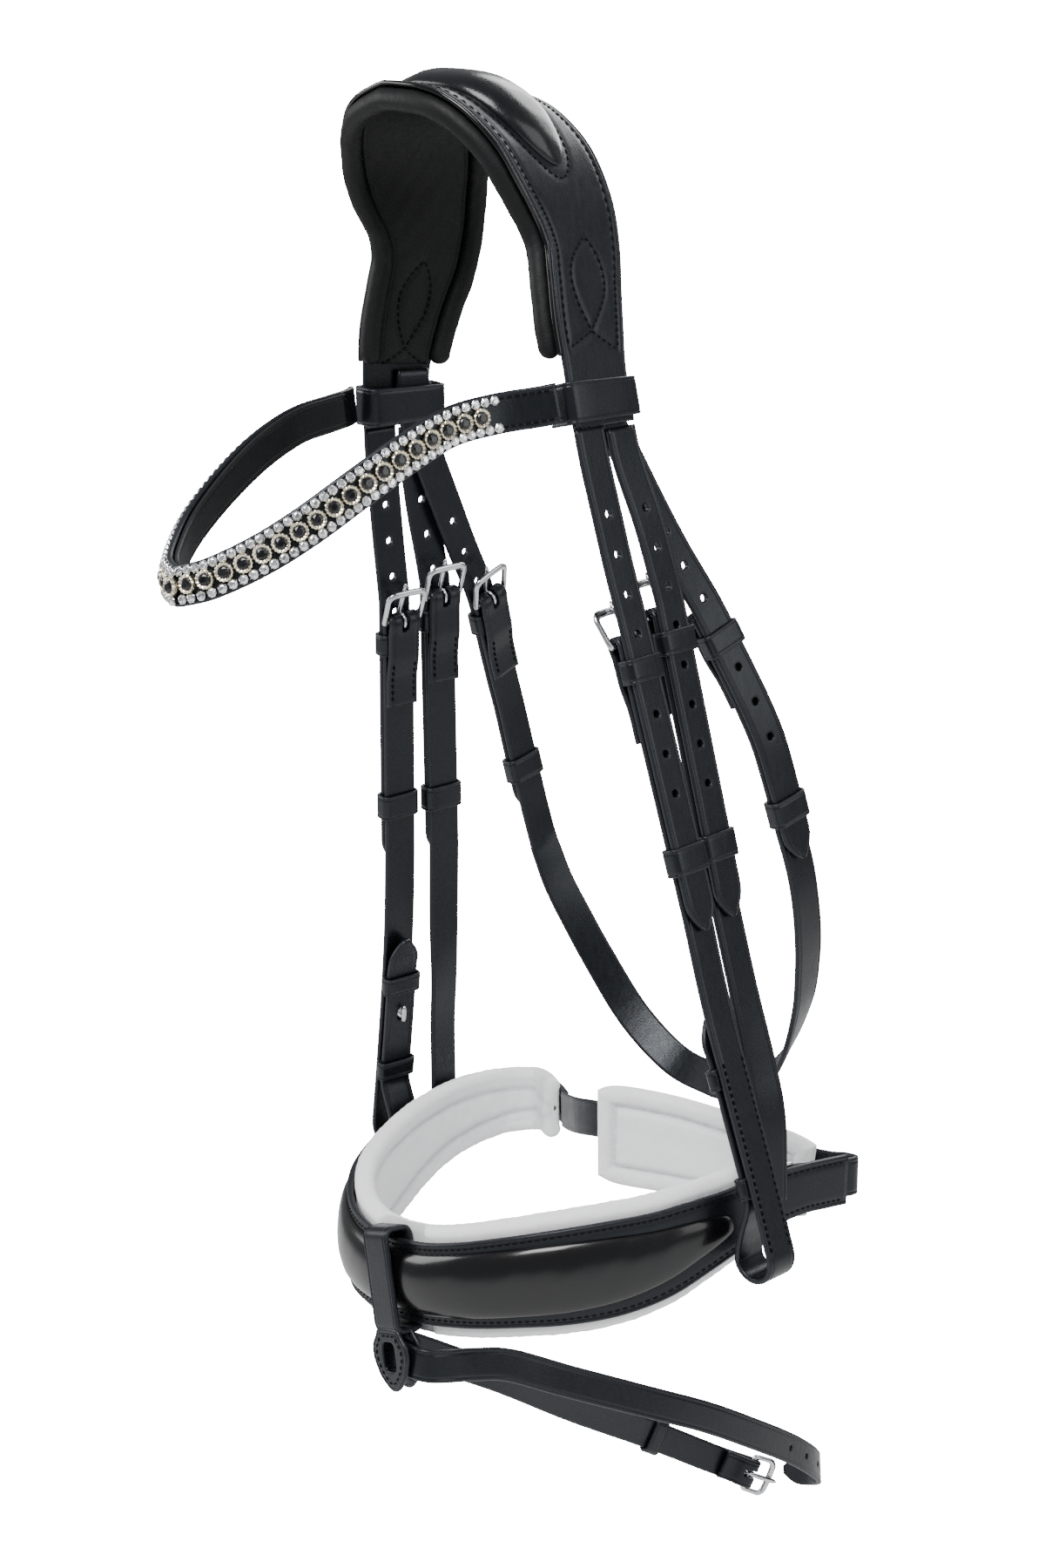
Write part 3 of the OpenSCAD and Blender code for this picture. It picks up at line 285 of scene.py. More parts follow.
def strap(way, w, t, s0=0.0, s1=None, tips=(0, 0), holes=(), relief=None, core=(0.68, 0.34), step=3.0,
          crease=0.35):
    """A strap as a rounded profile carried along a way. A ring runs over the top from +x to -x and back
    below: edge points lie at half the width less an inset, core points at a share of the rest. holes are
    (s, radius, half length): there the grid gives way to rings that shrink onto the hole's outline, and a
    wall joins them."""
    s1 = way.long if s1 is None else s1
    r = min(0.42 * t, 1.1)
    turn = np.radians([0, 30, 60, 90])
    inset = np.r_[r * (1 - np.cos(turn)), 1.45, 1.85, 2.25, 3.0]
    drop = np.r_[r * (1 - np.sin(turn)), 0, crease, 0, 0]
    k = len(core) + 1
    side = np.r_[inset, np.full(k, 3.0)]
    share = np.r_[np.ones(len(inset)), core, 0.0]
    fall = np.r_[drop, np.zeros(k)]
    below = fall.copy()
    below[len(turn):] = 0
    marks = sorted({s0, s1, *(h[0] + q * (h[1] + h[2] + 1.4) for h in holes for q in (-1, 1))})
    s = np.concatenate([np.linspace(a, b, max(2, int((b - a) / step) + 2))[:-1]
                        for a, b in zip(marks, marks[1:])] + [[s1]])
    width = w(s) if callable(w) else np.full_like(s, w)
    for tip, from_end in zip(tips, (s - s0, s1 - s)):
        if tip:
            width = width * np.sin(np.pi / 2 * np.minimum(1, (from_end + 2) / tip))
    half = width[:, None] / 2
    x = np.where(np.arange(len(side)) < len(inset), np.maximum(half - side, 0),
                 np.maximum(half - 3, 0) * share)
    x = np.hstack([x, -x[:, -2::-1]])
    drops = np.r_[fall, fall[-2::-1]]
    m = x.shape[1]
    top = np.full_like(x, t / 2) - drops
    if relief:
        top = top + relief(s[:, None], x)
    ring_x = np.hstack([x, x[:, ::-1]])
    ring_h = np.hstack([top, np.tile(-t / 2 + np.r_[below, below[-2::-1]][::-1], (len(s), 1))])
    points = way.lay(s[:, None], ring_x, ring_h).reshape(-1, 3)
    quads = net(len(s), 2 * m)
    rub = np.exp(-np.abs(half - np.abs(ring_x)) / 0.7).ravel()
    kept = np.ones(len(quads), bool)
    more_points, more_quads, count = [], [], len(points)
    mid = m // 2
    cols = np.arange(mid - len(core), mid + len(core) + 1)
    for at, radius, reach in holes:
        r0, r1 = (int(np.argmin(np.abs(s - at - q * (radius + reach + 1.4)))) for q in (-1, 1))
        rows = np.arange(r0, r1 + 1)
        loop_r = np.r_[np.full(len(cols), r0), rows[1:], np.full(len(cols) - 1, r1), rows[-2:0:-1]]
        loop_c = np.r_[cols, np.full(len(rows) - 1, cols[-1]), cols[-2::-1], np.full(len(rows) - 2, cols[0])]
        for under in (0, 1):
            c = 2 * m - 1 - cols if under else cols
            kept[(rows[:-1, None] * 2 * m + np.minimum(c[:-1], c[1:])).ravel()] = False
        u, v = s[loop_r] - at, x[loop_r, loop_c]
        mid_u = np.clip(u, -reach, reach)
        way_out = unit(np.stack([u - mid_u, v], -1) + 1e-9)
        hole_u, hole_v = mid_u + radius * way_out[:, 0], radius * way_out[:, 1]
        n = len(u)
        rings = [loop_r * 2 * m + loop_c]
        levels = [(0.5, 0.0), (0.86, 0.0), (0.97, 0.12), (1.0, 0.45)]
        height = t / 2 + (relief(at, np.zeros(1))[0] if relief else 0)
        for q, sink in levels:
            more_points.append(way.lay(at + u + (hole_u - u) * q, v + (hole_v - v) * q, height - sink))
            rings.append(count + np.arange(n))
            count += n
        for q, sink in levels[::-1]:
            more_points.append(way.lay(at + u + (hole_u - u) * q, v + (hole_v - v) * q, -t / 2 + sink))
            rings.append(count + np.arange(n))
            count += n
        rings.append(loop_r * 2 * m + 2 * m - 1 - loop_c)
        for a, b in zip(rings, rings[1:]):
            more_quads.append(np.stack([a, np.roll(a, -1), np.roll(b, -1), b], -1))
        rub = np.r_[rub, np.full(n * 2 * len(levels), 0.25)]
    points = np.vstack([points] + more_points)
    quads = np.vstack([quads[kept], ends(len(s), 2 * m)] + more_quads)
    return points, outward(points, quads), rub


def stitches(way, s, x, h, pitch=3.1, thick=0.42):
    """Saddle stitches along a line drawn on the leather: every pitch a short thread, bowed up in its
    middle by 1 - u2 and sunk at its ends, of round section."""
    s, x = np.asarray(s, float), np.asarray(x, float)
    d = np.r_[0, np.cumsum(np.hypot(np.diff(s), np.diff(x)))]
    at = np.arange(pitch / 2, d[-1], pitch)
    cs, cx = np.interp(at, d, s), np.interp(at, d, x)
    ds, dx = (np.interp(at + 0.5, d, v) - np.interp(at - 0.5, d, v) for v in (s, x))
    size = np.hypot(ds, dx) + 1e-9
    ds, dx = (ds / size)[:, None, None], (dx / size)[:, None, None]
    u = np.array([-1, -0.7, 0, 0.7, 1])[None, :, None]
    turn = (np.arange(6) * np.pi / 3)[None, None, :]
    r = thick * np.sqrt(1.12 - u * u)
    along, aside, lift = u * pitch * 0.39, r * np.cos(turn), r * np.sin(turn) + thick * (0.45 - 0.9 * u * u)
    high = h(cs, cx)[:, None, None] if callable(h) else h
    points = way.lay(cs[:, None, None] + along * ds - aside * dx, cx[:, None, None] + along * dx + aside * ds,
                     high + lift).reshape(-1, 3)
    one = np.vstack([net(5, 6), ends(5, 6)])
    quads = (one[None] + 30 * np.arange(len(at))[:, None, None]).reshape(-1, 4)
    return points, outward(points, quads), np.zeros(len(points))


def fit(name, parts, stuff, body, *nodes, slot=None, flat=False):
    """Makes one piece of several shells, in one finish, on a body, in place of its CAD nodes."""
    points, quads, rub = gather(parts)
    thing = mesh_object(name, points, quads)
    # rub holds edge wear on the leather, and painted shade in the grooves of the white pads.
    thing.data.attributes.new("rub", "FLOAT", "POINT").data.foreach_set("value", rub.astype(np.float32))
    thing.data.materials.append(stuff)
    if flat:
        thing.data.shade_flat()
    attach(thing, body)
    if nodes:
        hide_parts(*nodes)
    return thing


strap_w, leather_t, layer = 16.0, 2.6, 3.0
crown_w = 64.0
head_rows = [(0, -3, 6.1, 0, 0, 1, crown_w), (20, -1, 2.6, 0.25, 0, 0.97, crown_w - 2),
             (35, 5, -7.5, 0.6, 0.03, 0.8, crown_w - 6), (44.5, 13.5, -23, 0.82, 0.07, 0.57, crown_w - 8),
             (50, 20.5, -41, 0.95, 0.1, 0.3, 48), (53.8, 22.5, -57, 0.98, 0.11, 0.2, 42.5),
             (58, 20.5, -72, 0.98, 0.09, 0.2, 39.5), (62, 18.7, -88, 0.98, 0.07, 0.18, 37.5),
             (65, 18.6, -104, 0.985, 0.06, 0.14, 34.6), (67, 19.8, -118, 0.985, 0.05, 0.14, 34),
             (68.3, 21, -128, 0.985, 0.05, 0.12, 34)]
near_head = curve(head_rows, 6)
head = Way(np.vstack([to_far(near_head)[::-1], near_head[1:]]))
poll = head.long / 2
lined = Way(near_head).down_to(-101)

cheek_top = [(68.8, 12, -128, 0.99, 0.06, 0.1), (70.6, 14, -142, 0.99, 0.05, 0.1),
             (73.6, 18.5, -165, 0.99, 0.05, 0.1), (76, 22.3, -184, 0.99, 0.05, 0.1),
             (79, 27, -205, 0.99, 0.05, 0.15)]
cheek_low = [(102.6, 45, -325, 0.99, 0.05, 0.15), (109.5, 49.3, -360, 0.98, 0.05, 0.2),
             (118.5, 53.8, -395, 0.98, 0.05, 0.22), (128, 58, -430, 0.97, 0.05, 0.25),
             (137, 61.5, -464, 0.97, 0.05, 0.25)]
hanger_top = [(67.8, 30, -128, 0.99, 0.06, 0.1), (70, 32.2, -142, 0.99, 0.05, 0.1),
              (74.2, 39.2, -165, 0.99, 0.05, 0.1), (76, 44.6, -183, 0.99, 0.05, 0.1),
              (77.4, 48.8, -198, 0.99, 0.05, 0.15)]
hanger_low = [(97, 66.8, -325, 0.99, 0.05, 0.15), (103.5, 71.4, -360, 0.99, 0.02, 0.18),
              (109, 75.4, -390, 0.99, -0.1, 0.12), (113.2, 77.6, -415, 0.99, -0.15, 0.05),
              (113.6, 78.4, -450, 0.99, -0.15, 0.02)]


def straight_between(top, low):
    """A billet's route: curved above the buckle, straight to the tip's height, curved below."""
    return np.vstack([curve(top, 5), curve([top[-1], low[0]], 8)[1:], curve(low, 5)[1:]])


cheek_rows, hanger_rows = straight_between(cheek_top, cheek_low), straight_between(hanger_top, hanger_low)
cheek, hanger = Way(cheek_rows), Way(hanger_rows)
cheek_bar, hanger_bar = cheek.down_to(-214), hanger.down_to(-204)
hole_pitch, hole_r = 16.5, 1.75

# Lines of stitching on the crown, as distances from the poll and crosswise places
oval_s = Way(near_head).down_to(-54), Way(near_head).down_to(-91), lined
u = np.linspace(0, 1, 40)
petal = np.c_[oval_s[0] + (oval_s[1] - oval_s[0]) * u, 9.5 * np.sin(np.pi * u ** 0.85)]
flare = np.c_[np.linspace(oval_s[1], oval_s[2] - 3, 12), -np.linspace(0, 1, 12) ** 1.15 * 13.5]
edge_s = np.linspace(-lined + 3, lined - 3, 200)
edge_x = head.wide(poll + edge_s) / 2
ring_t = np.linspace(0, 2 * np.pi, 120)
dome_long, dome_wide = Way(near_head).down_to(-23) + 4, 37.0
ring_x = (dome_wide / 2 + 4.5) * np.sin(ring_t) * (1 - 0.12 * np.cos(ring_t) ** 2)
crown_lines = [(edge_s, edge_x - 4.2), (edge_s, -edge_x + 4.0), ((dome_long + 5) * np.cos(ring_t), ring_x)]
for way_on in (-1, 1):
    for across in (-1, 1):
        crown_lines.append((way_on * np.r_[petal[:, 0], flare[1:, 0]],
                            across * np.r_[petal[:, 1], flare[1:, 1]]))


def pressed(lines, depth, breadth):
    """Relief of leather drawn down by stitching: -depth exp(-(d / breadth)2) at distance d from the
    nearest line."""
    line = np.vstack([np.c_[np.interp(np.linspace(0, len(a) - 1, 4 * len(a)), range(len(a)), a),
                            np.interp(np.linspace(0, len(b) - 1, 4 * len(b)), range(len(b)), b)]
                      for a, b in lines])

    def relief(s, x):
        s, x = np.broadcast_arrays(s, x)
        spots = np.stack([s, x], -1).reshape(-1, 1, 2)
        near = np.concatenate([np.min(((part - line) ** 2).sum(-1), 1)
                               for part in np.array_split(spots, max(1, len(spots) // 400))])
        return (-depth * np.exp(-near / breadth ** 2)).reshape(s.shape)
    return relief


crown_press = pressed([(a + poll, b) for a, b in crown_lines], 0.4, 1.0)
billet = dict(tips=(0, 14), step=3.0)
crown_parts = [strap(head, head.wide, leather_t, relief=crown_press, core=tuple(np.linspace(1, 0, 20)[1:-1]),
                     step=1.6)]
for rows, bar, tip, first in ((cheek_rows, cheek_bar, 120, -163), (hanger_rows, hanger_bar, 127, -161)):
    for rows in (rows, to_far(rows)):
        way = Way(rows)
        start = way.down_to(first)
        crown_parts.append(strap(way, strap_w, leather_t, 0.5, bar + tip,
                                 holes=[(start + k * hole_pitch, hole_r, 0) for k in range(8)], **billet))
fit("crown leather", crown_parts, bridle_hide, "headpiece", "crown_strap", slot="bridle_leather")
crown_stitches = [stitches(head, poll + a, b, lambda s, x: leather_t / 2 + crown_press(s, x) + 0.05)
                  for a, b in crown_lines]
fit("crown stitching", crown_stitches, thread, "headpiece")

# ---------------------------------------------------------------- poll dome
# A soft foam lens under thin, tightly stretched leather, stitched down all round on top of the crown.
stretched_look = dyed_hide((0.0018, 0.0021, 0.0030, 1), (0.0036, 0.0042, 0.0057, 1), 0.27, 0.25, 1100.0)
stretched_hide = finish("stretched smooth leather", stretched_look,
                        coat_weight=0.25, coat_roughness=0.2, specular_ior_level=0.3)


def ripple(s, x, scale):
    """Soft unevenness between -1 and 1: a product of three sets of crossing sine waves."""
    a, b = np.asarray(s) / scale, np.asarray(x) / scale
    along = np.sin(2.1 * a + 1.3 * np.sin(1.7 * b + 0.4))
    aside = np.sin(3.7 * b + 1.1 * np.sin(2.3 * a + 2.0))
    return (along + aside + np.sin(5.3 * (a + b) + 0.7)) / 3


def lens(way, middle, long, wide, high, base, n=72, m=40, full=0.62):
    """A padded lens on a way: for u along and v across from -1 to 1, its half width is (1 - |u|^2.3)^0.55
    and its height (1 - |u|^2.6)^full (1 - |v|^2.6)^full; a flat underside closes it."""
    u, v = np.meshgrid(np.sin(np.linspace(-1, 1, n) * np.pi / 2), np.sin(np.linspace(-1, 1, m) * np.pi / 2),
                       indexing="ij")
    half = wide / 2 * np.maximum(1 - np.abs(u) ** 2.3, 1e-4) ** 0.55
    up = high * (np.maximum(1 - np.abs(u) ** 2.6, 0) * np.maximum(1 - np.abs(v) ** 2.6, 0)) ** full
    up = up + 0.12 * ripple(u * long, v * half, 9.0) * np.minimum(up / high * 4, 1)
    top = way.lay(middle + u * long, -v * half, base + up)
    low = way.lay(middle + u * long, v * half, base - 0.2 + 0 * u)
    points = np.concatenate([top, low], 1).reshape(-1, 3)
    quads = np.vstack([net(n, 2 * m), ends(n, 2 * m)])
    return points, outward(points, quads), np.zeros(len(points))


dome = fit("poll dome", [lens(head, poll, dome_long, dome_wide, 7.2, leather_t / 2 + 0.2)], stretched_hide,
           "headpiece", "poll_dome", slot="smooth_leather")

# ---------------------------------------------------------------- soft lining under the crown
# The headpiece lies on a flat foam pad in matt lining leather, with a stuffed roll along each long edge.
# The pad is quilted through with the same pointed ovals as the crown; the rolls are closed by hand at
# their ends.
lining_t, roll_d, lay_gap = 4.4, 9.0, 0.4
lining_look = dyed_hide((0.0020, 0.0022, 0.0026, 1), (0.0040, 0.0043, 0.0050, 1), 0.55, 0.4, 1900.0)
lining_hide = finish("matt lining leather", lining_look,
                     specular_ior_level=0.22)


def roll(way, s0, s1, x, h, r, soft=0.0, m=24, step=1.5):
    """A stuffed roll at (x, h) on a way: radius r (1 + soft ripple), closed at its ends as r sqrt(1 -
    q2), where q runs from 0 to 1 over the last r millimetres."""
    near_end = r * (1 - np.cos(np.linspace(0, 1, 8) * np.pi / 2))
    s = np.r_[s0 + near_end, np.linspace(s0 + r, s1 - r, max(2, int((s1 - s0) / step)))[1:-1],
              (s1 - near_end)[::-1]]
    q = np.clip(1 - np.minimum(s - s0, s1 - s) / r, 0, 1)
    turn = np.arange(m) * 2 * np.pi / m
    uneven = 1 + soft * ripple(s[:, None], turn[None] * r, 5.0)
    rad = r * np.sqrt(np.maximum(1 - q * q, 1e-4))[:, None] * uneven
    cx = (x(s) if callable(x) else np.full_like(s, x))[:, None]
    points = way.lay(s[:, None], cx - rad * np.cos(turn), h + rad * np.sin(turn)).reshape(-1, 3)
    quads = np.vstack([net(len(s), m), ends(len(s), m)])
    return points, outward(points, quads), np.zeros(len(points))


lining_in = leather_t / 2 + lining_t / 2 + lay_gap
under = Way(head.cut(poll - lined, poll + lined, -lining_in, -1, 90))
under_mid = under.long / 2
under_lines = [(d * np.r_[petal[:, 0], flare[1:, 0]] + under_mid, a * np.r_[petal[:, 1], flare[1:, 1]])
               for d in (-1, 1) for a in (-1, 1)]
under_lines = [(a * 0.985 + under_mid * 0.015, b * 0.8) for a, b in under_lines]
under_press = pressed(under_lines, 0.9, 1.6)


def under_wide(s):
    """Width of the pad between the two rolls."""
    return head.wide(poll - lined + s * 2 * lined / under.long) - roll_d - 0.6


def under_relief(s, x):
    """The pad's quilting and the unevenness of its foam."""
    return under_press(s, x) + 0.25 * ripple(s, x, 11.0)


pad = strap(under, under_wide, lining_t, relief=under_relief, core=tuple(np.linspace(1, 0, 14)[1:-1]),
            step=1.6)
flat_lining = fit("crown lining pad", [pad], lining_hide, "headpiece", "crown_lining", slot="black_lining")
fit("crown lining stitching", [stitches(under, a, b, lining_t / 2 - 0.75) for a, b in under_lines], thread,
    "headpiece")
for name, way_x, node in (("front", -1, "lining_roll_front"), ("back", 1, "lining_roll_back")):
    tube = roll(head, poll - lined, poll + lined, lambda s: way_x * (head.wide(s) / 2 + 0.2),
                -(leather_t / 2 + roll_d / 2 + 0.2), roll_d / 2, 0.035)
    fit(name + " roll of the lining", [tube], lining_hide, "headpiece", node, slot="black_lining")

# ---------------------------------------------------------------- patent piping
# A cord in glossy coated leather, caught in the front seam between the crown and its lining.


def coated(deep, pale, gloss):
    """Patent leather: an even dark tone under a clear coat, with a faint ripple, dust and hairline wear."""
    def changing(wire):
        at = wire.node("TexCoord", {}, {}, "Object")
        swell = wire.noise(at, 90.0, 2.0)
        dust = wire.noise(at, 600.0, 4.0, 0.7)
        rub = wire.node("Attribute", {"attribute_name": "rub"}, {}, "Fac")
        bump = wire.node("Bump", {}, {"Strength": 0.10, "Distance": 0.0008, "Height": swell + dust * 0.05})
        return {"Base Color": wire.blend(wire.noise(at, 14.0) + rub * 0.2, deep, pale),
                "Roughness": gloss + dust * 0.06 + rub * 0.1, "Normal": bump}
    return changing


patent_look = coated((0.001, 0.001, 0.0014, 1), (0.003, 0.003, 0.0038, 1), 0.12)
patent = finish("patent leather", patent_look, coat_weight=0.35, coat_roughness=0.05, specular_ior_level=0.25)
piping_d = 2.2
piping = roll(head, poll - lined, poll + lined, lambda s: -(head.wide(s) / 2 + piping_d / 2 + 0.1), 0.2,
              piping_d / 2, m=12)
fit("patent piping", [piping], patent, "headpiece", "patent_piping", slot="patent_leather")

# ---------------------------------------------------------------- throat billets
# A third billet on each side, cut on its own and sewn to the inside of the crown below the lining.
throat_top = [(61.2, 24.5, -104, 0.985, 0.06, 0.14), (62.5, 25.4, -114, 0.985, 0.06, 0.12),
              (63.9, 28, -126, 0.985, 0.06, 0.12), (66.2, 37.2, -143, 0.99, 0.05, 0.1),
              (68.7, 48.5, -163, 0.99, 0.03, 0.1), (71.4, 59, -181, 0.99, 0, 0.1),
              (75.2, 73, -203, 0.99, -0.1, 0.15)]
throat_low = [(79.5, 82, -222, 0.99, -0.12, 0.15), (83.8, 91, -241, 0.99, -0.12, 0.15),
              (86.6, 98.6, -258, 0.99, -0.1, 0.1), (88, 105, -276, 1, -0.05, 0.02),
              (88.9, 111.3, -295, 1, 0, 0), (89.8, 117.5, -313, 1, 0, 0), (89, 122.5, -329, 0.98, 0.05, -0.1),
              (85.5, 128.5, -347, 0.95, 0.1, -0.3), (79.5, 135, -364, 0.88, 0.2, -0.45),
              (70, 142.5, -385, 0.75, 0.35, -0.55), (52, 150.5, -412, 0.5, 0.6, -0.6),
              (28, 157, -431, 0.15, 0.75, -0.6), (0, 160, -437, -0.2, 0.8, -0.55)]
throat_rows = curve(np.vstack([throat_top, throat_low]), 5)
throat = Way(throat_rows)
throat_bar = throat.down_to(-206)
for side, rows in (("near", throat_rows), ("far", to_far(throat_rows))):
    way = Way(rows)
    start = way.down_to(-171)
    made = strap(way, strap_w, leather_t, 0, throat_bar + 114,
                 holes=[(start + k * hole_pitch, hole_r, 0) for k in range(7)], **billet)
    fit("throat billet " + side, [made], bridle_hide, "headpiece", "throat_billet_" + side,
        slot="bridle_leather")

# ---------------------------------------------------------------- browband
# A shaped strap of leather 16 mm high, dipping to a V on the forehead, with a smooth lining behind it.
# Its plain ends are saddle-stitched, and each carries a flat loop that the headpiece runs through.
brow_h, brow_t, brow_lining_t = 16.0, 2.6, 2.0
brow_half = curve([(69.3, -3.4, -119.4, 0.9, -0.4, 0), (64.6, -10, -121, 0.9, -0.3, 0),
                   (57.5, -24, -123.5, 0.95, -0.2, 0), (53.5, -44, -128.5, 1, -0.05, 0),
                   (51.5, -64, -138.5, 0.98, -0.2, 0), (47, -84, -151.5, 0.9, -0.4, 0),
                   (39.5, -104, -166, 0.8, -0.6, 0), (29, -119, -177, 0.65, -0.75, 0),
                   (15, -132, -185.5, 0.4, -0.9, 0), (0, -138, -189, 0, -1, 0)], 6)
brow = Way(np.vstack([brow_half, to_far(brow_half)[::-1][1:]]))
brow_face = Way(brow.cut(0, brow.long, -brow_t / 2, 1, 160))
plain_end, seam_x = 27.0, 5.6


def two_rows(way, s, aside=seam_x):
    """Two rows of stitches on a strap's outer face, one each side of its middle."""
    return [stitches(way, s, np.full(len(s), x), leather_t / 2) for x in (-aside, aside)]


fit("browband leather", [strap(brow_face, brow_h, brow_t, core=(0.8, 0.6, 0.4, 0.2), step=2.0)], bridle_hide,
    "browband", "browband_strap", slot="bridle_leather")
end_s = np.r_[2.5, plain_end]
fit("browband stitching", two_rows(brow_face, end_s) + two_rows(brow_face, brow_face.long - end_s), thread,
    "browband")
smooth_look = dyed_hide((0.0022, 0.0024, 0.003, 1), (0.0042, 0.0045, 0.0054, 1), 0.34, 0.15, 2200.0)
smooth_hide = finish("smooth calf lining", smooth_look, specular_ior_level=0.3)
behind = Way(brow.cut(16, brow.long - 16, -brow_t - brow_lining_t / 2 - 0.35, -1, 150))
fit("browband lining", [strap(behind, brow_h - 1.5, brow_lining_t, step=2.5)], smooth_hide, "browband",
    "browband_lining", slot="black_lining")


def band(way, s, x0, x1, h0, h1, long, t, corner=1.8, ridge=0.3):
    """A flat leather loop round a way, inside from x0 to x1 and h0 to h1. The path is that rectangle with
    round corners; the strip carried round it has round edges and a line pressed near each."""
    turn = np.radians(np.linspace(0, 90, 7))
    path = []
    for cx, ch, start in ((x1, h1, 0), (x0, h1, 90), (x0, h0, 180), (x1, h0, 270)):
        n = np.stack([np.cos(turn + np.radians(start)), np.sin(turn + np.radians(start))], -1)
        middle = np.array([cx, ch]) - corner * np.sign([cx - (x0 + x1) / 2, ch - (h0 + h1) / 2])
        path += [np.hstack([middle + n * corner, n])]
    path = np.vstack(path)
    ahead = np.roll(path, -1, 0)
    path = np.stack([path, (path * 2 + ahead) / 3, (path + ahead * 2) / 3], 1).reshape(-1, 4)
    edge = np.array([0, 0.12, 0.45, 1.0, 1.3, 1.6, 2.4])
    rise = np.array([t * 0.5, t * 0.82, t, t, t - ridge, t - 0.05, t - 0.05])
    v = np.r_[edge - long / 2, long / 2 - edge[::-1], long / 2 - 0.12, long / 2 - 0.5, 0.5 - long / 2,
              0.12 - long / 2]
    d = np.r_[rise, rise[::-1], t * 0.18, 0, 0, t * 0.18]
    points = way.lay(s + v[None], path[:, :1] + path[:, 2:3] * d, path[:, 1:2] + path[:, 3:4] * d)
    rub = np.tile(np.exp(-np.r_[edge, edge[::-1], 0.12, 0.5, 0.5, 0.12] / 0.7), len(path))
    points, quads = points.reshape(-1, 3), net(len(path), len(v), loop=True)
    return points, outward(points, quads), rub


loop_t, loop_play = 2.0, 1.2
loop_in = 2 * strap_w + 2 + 2.2
loop_back = leather_t / 2 + layer + leather_t + 2.6
for side, rows in (("near", near_head), ("far", to_far(near_head))):
    way = Way(rows)
    made = band(way, way.down_to(-118), -loop_in / 2, loop_in / 2, -loop_back, leather_t / 2 + loop_play,
                brow_h, loop_t, 2.4)
    fit("browband loop " + side, [made], bridle_hide, "browband", "browband_loop_" + side,
        slot="bridle_leather")

# ---------------------------------------------------------------- stones on the browband
# A row of black stones in pale gilt cups with beaded rims runs between two rows of small clear crystals
# in silver. They are riveted to a black ground; the plain ends carry none.
stone_d, stone_pitch, crystal_pitch, bead_lift = 6.2, 8.0, 4.2, 0.3


def set_along(count, pitch, aside, rings, twist=0.0):
    """The same turned shape many times along the browband. rings are (radius, height, points, phase,
    notch): point k of n lies at angle 2 pi (k + phase) / n and radius r (1 - notch (k mod 2)); the last
    ring is closed."""
    n = rings[0][2]
    k = np.arange(n)
    shape = np.stack([np.stack([r * (1 - notch * (k % 2)) * np.cos(2 * np.pi * (k + phase) / n + twist),
                                r * (1 - notch * (k % 2)) * np.sin(2 * np.pi * (k + phase) / n + twist),
                                np.full(n, h)], -1) for r, h, n, phase, notch in rings]).reshape(-1, 3)
    m = len(rings)
    low, j = np.arange(m - 1)[:, None] * n, np.arange(n)[None]
    one = np.vstack([np.stack([low + j, low + (j + 1) % n, low + n + (j + 1) % n, low + n + j],
                              -1).reshape(-1, 4), ends(m, n)])
    s = brow.long / 2 + (np.arange(count) - (count - 1) / 2) * pitch
    points = brow.lay(s[:, None], aside + shape[None, :, 0], bead_lift + shape[None, :, 2])
    points += brow.of(brow.t, s)[:, None] * shape[None, :, 1:2]
    quads = (one[None] + len(shape) * np.arange(count)[:, None, None]).reshape(-1, 4)
    points = points.reshape(-1, 3)
    return points, outward(points, quads), np.zeros(len(points))


def facets(thing, seed):
    """Gives each facet a random painted glint, a brightness standing in for the light its cut face reflects.
    """
    tone = np.random.default_rng(seed).random(len(thing.data.polygons)).astype(np.float32)
    thing.data.attributes.new("glint", "FLOAT", "FACE").data.foreach_set("value", tone)


def cut_stone(deep, pale, gloss, middle=0.5):
    """Cut glass: each facet painted between two tones as a glint, with a little haze and fine scratches."""
    def changing(wire):
        at = wire.node("TexCoord", {}, {}, "Object")
        glint = wire.node("Attribute", {"attribute_name": "glint"}, {}, "Fac")
        haze = wire.noise(at, 900.0, 3.0)
        share = wire.node("ValToRGB", {"stops": [(middle - 0.25, 0.0), (middle + 0.25, 1.0)]},
                          {"Fac": glint + (haze - 0.5) * 0.2})
        bump = wire.node("Bump", {}, {"Strength": 0.05, "Distance": 0.0002, "Height": haze})
        return {"Base Color": wire.blend(share, deep, pale), "Roughness": gloss + haze * 0.06, "Normal": bump}
    return changing


def polished(deep, pale, gloss, scratch=0.04):
    """Polished metal: a slow change of tone, hairline scratches drawn out along its length and dull
    spots."""
    def changing(wire):
        at = wire.node("TexCoord", {}, {}, "Object")
        cloud = wire.noise(at, 60.0, 4.0, 0.6)
        hair = wire.noise(wire.node("Mapping", {}, {"Vector": at, "Scale": (1.0, 1.0, 0.12)}), 3000.0, 2.0)
        bump = wire.node("Bump", {}, {"Strength": scratch, "Distance": 0.0002, "Height": hair})
        return {"Base Color": wire.blend(cloud, deep, pale), "Roughness": gloss + cloud * 0.10 + hair * 0.05,
                "Normal": bump}
    return changing


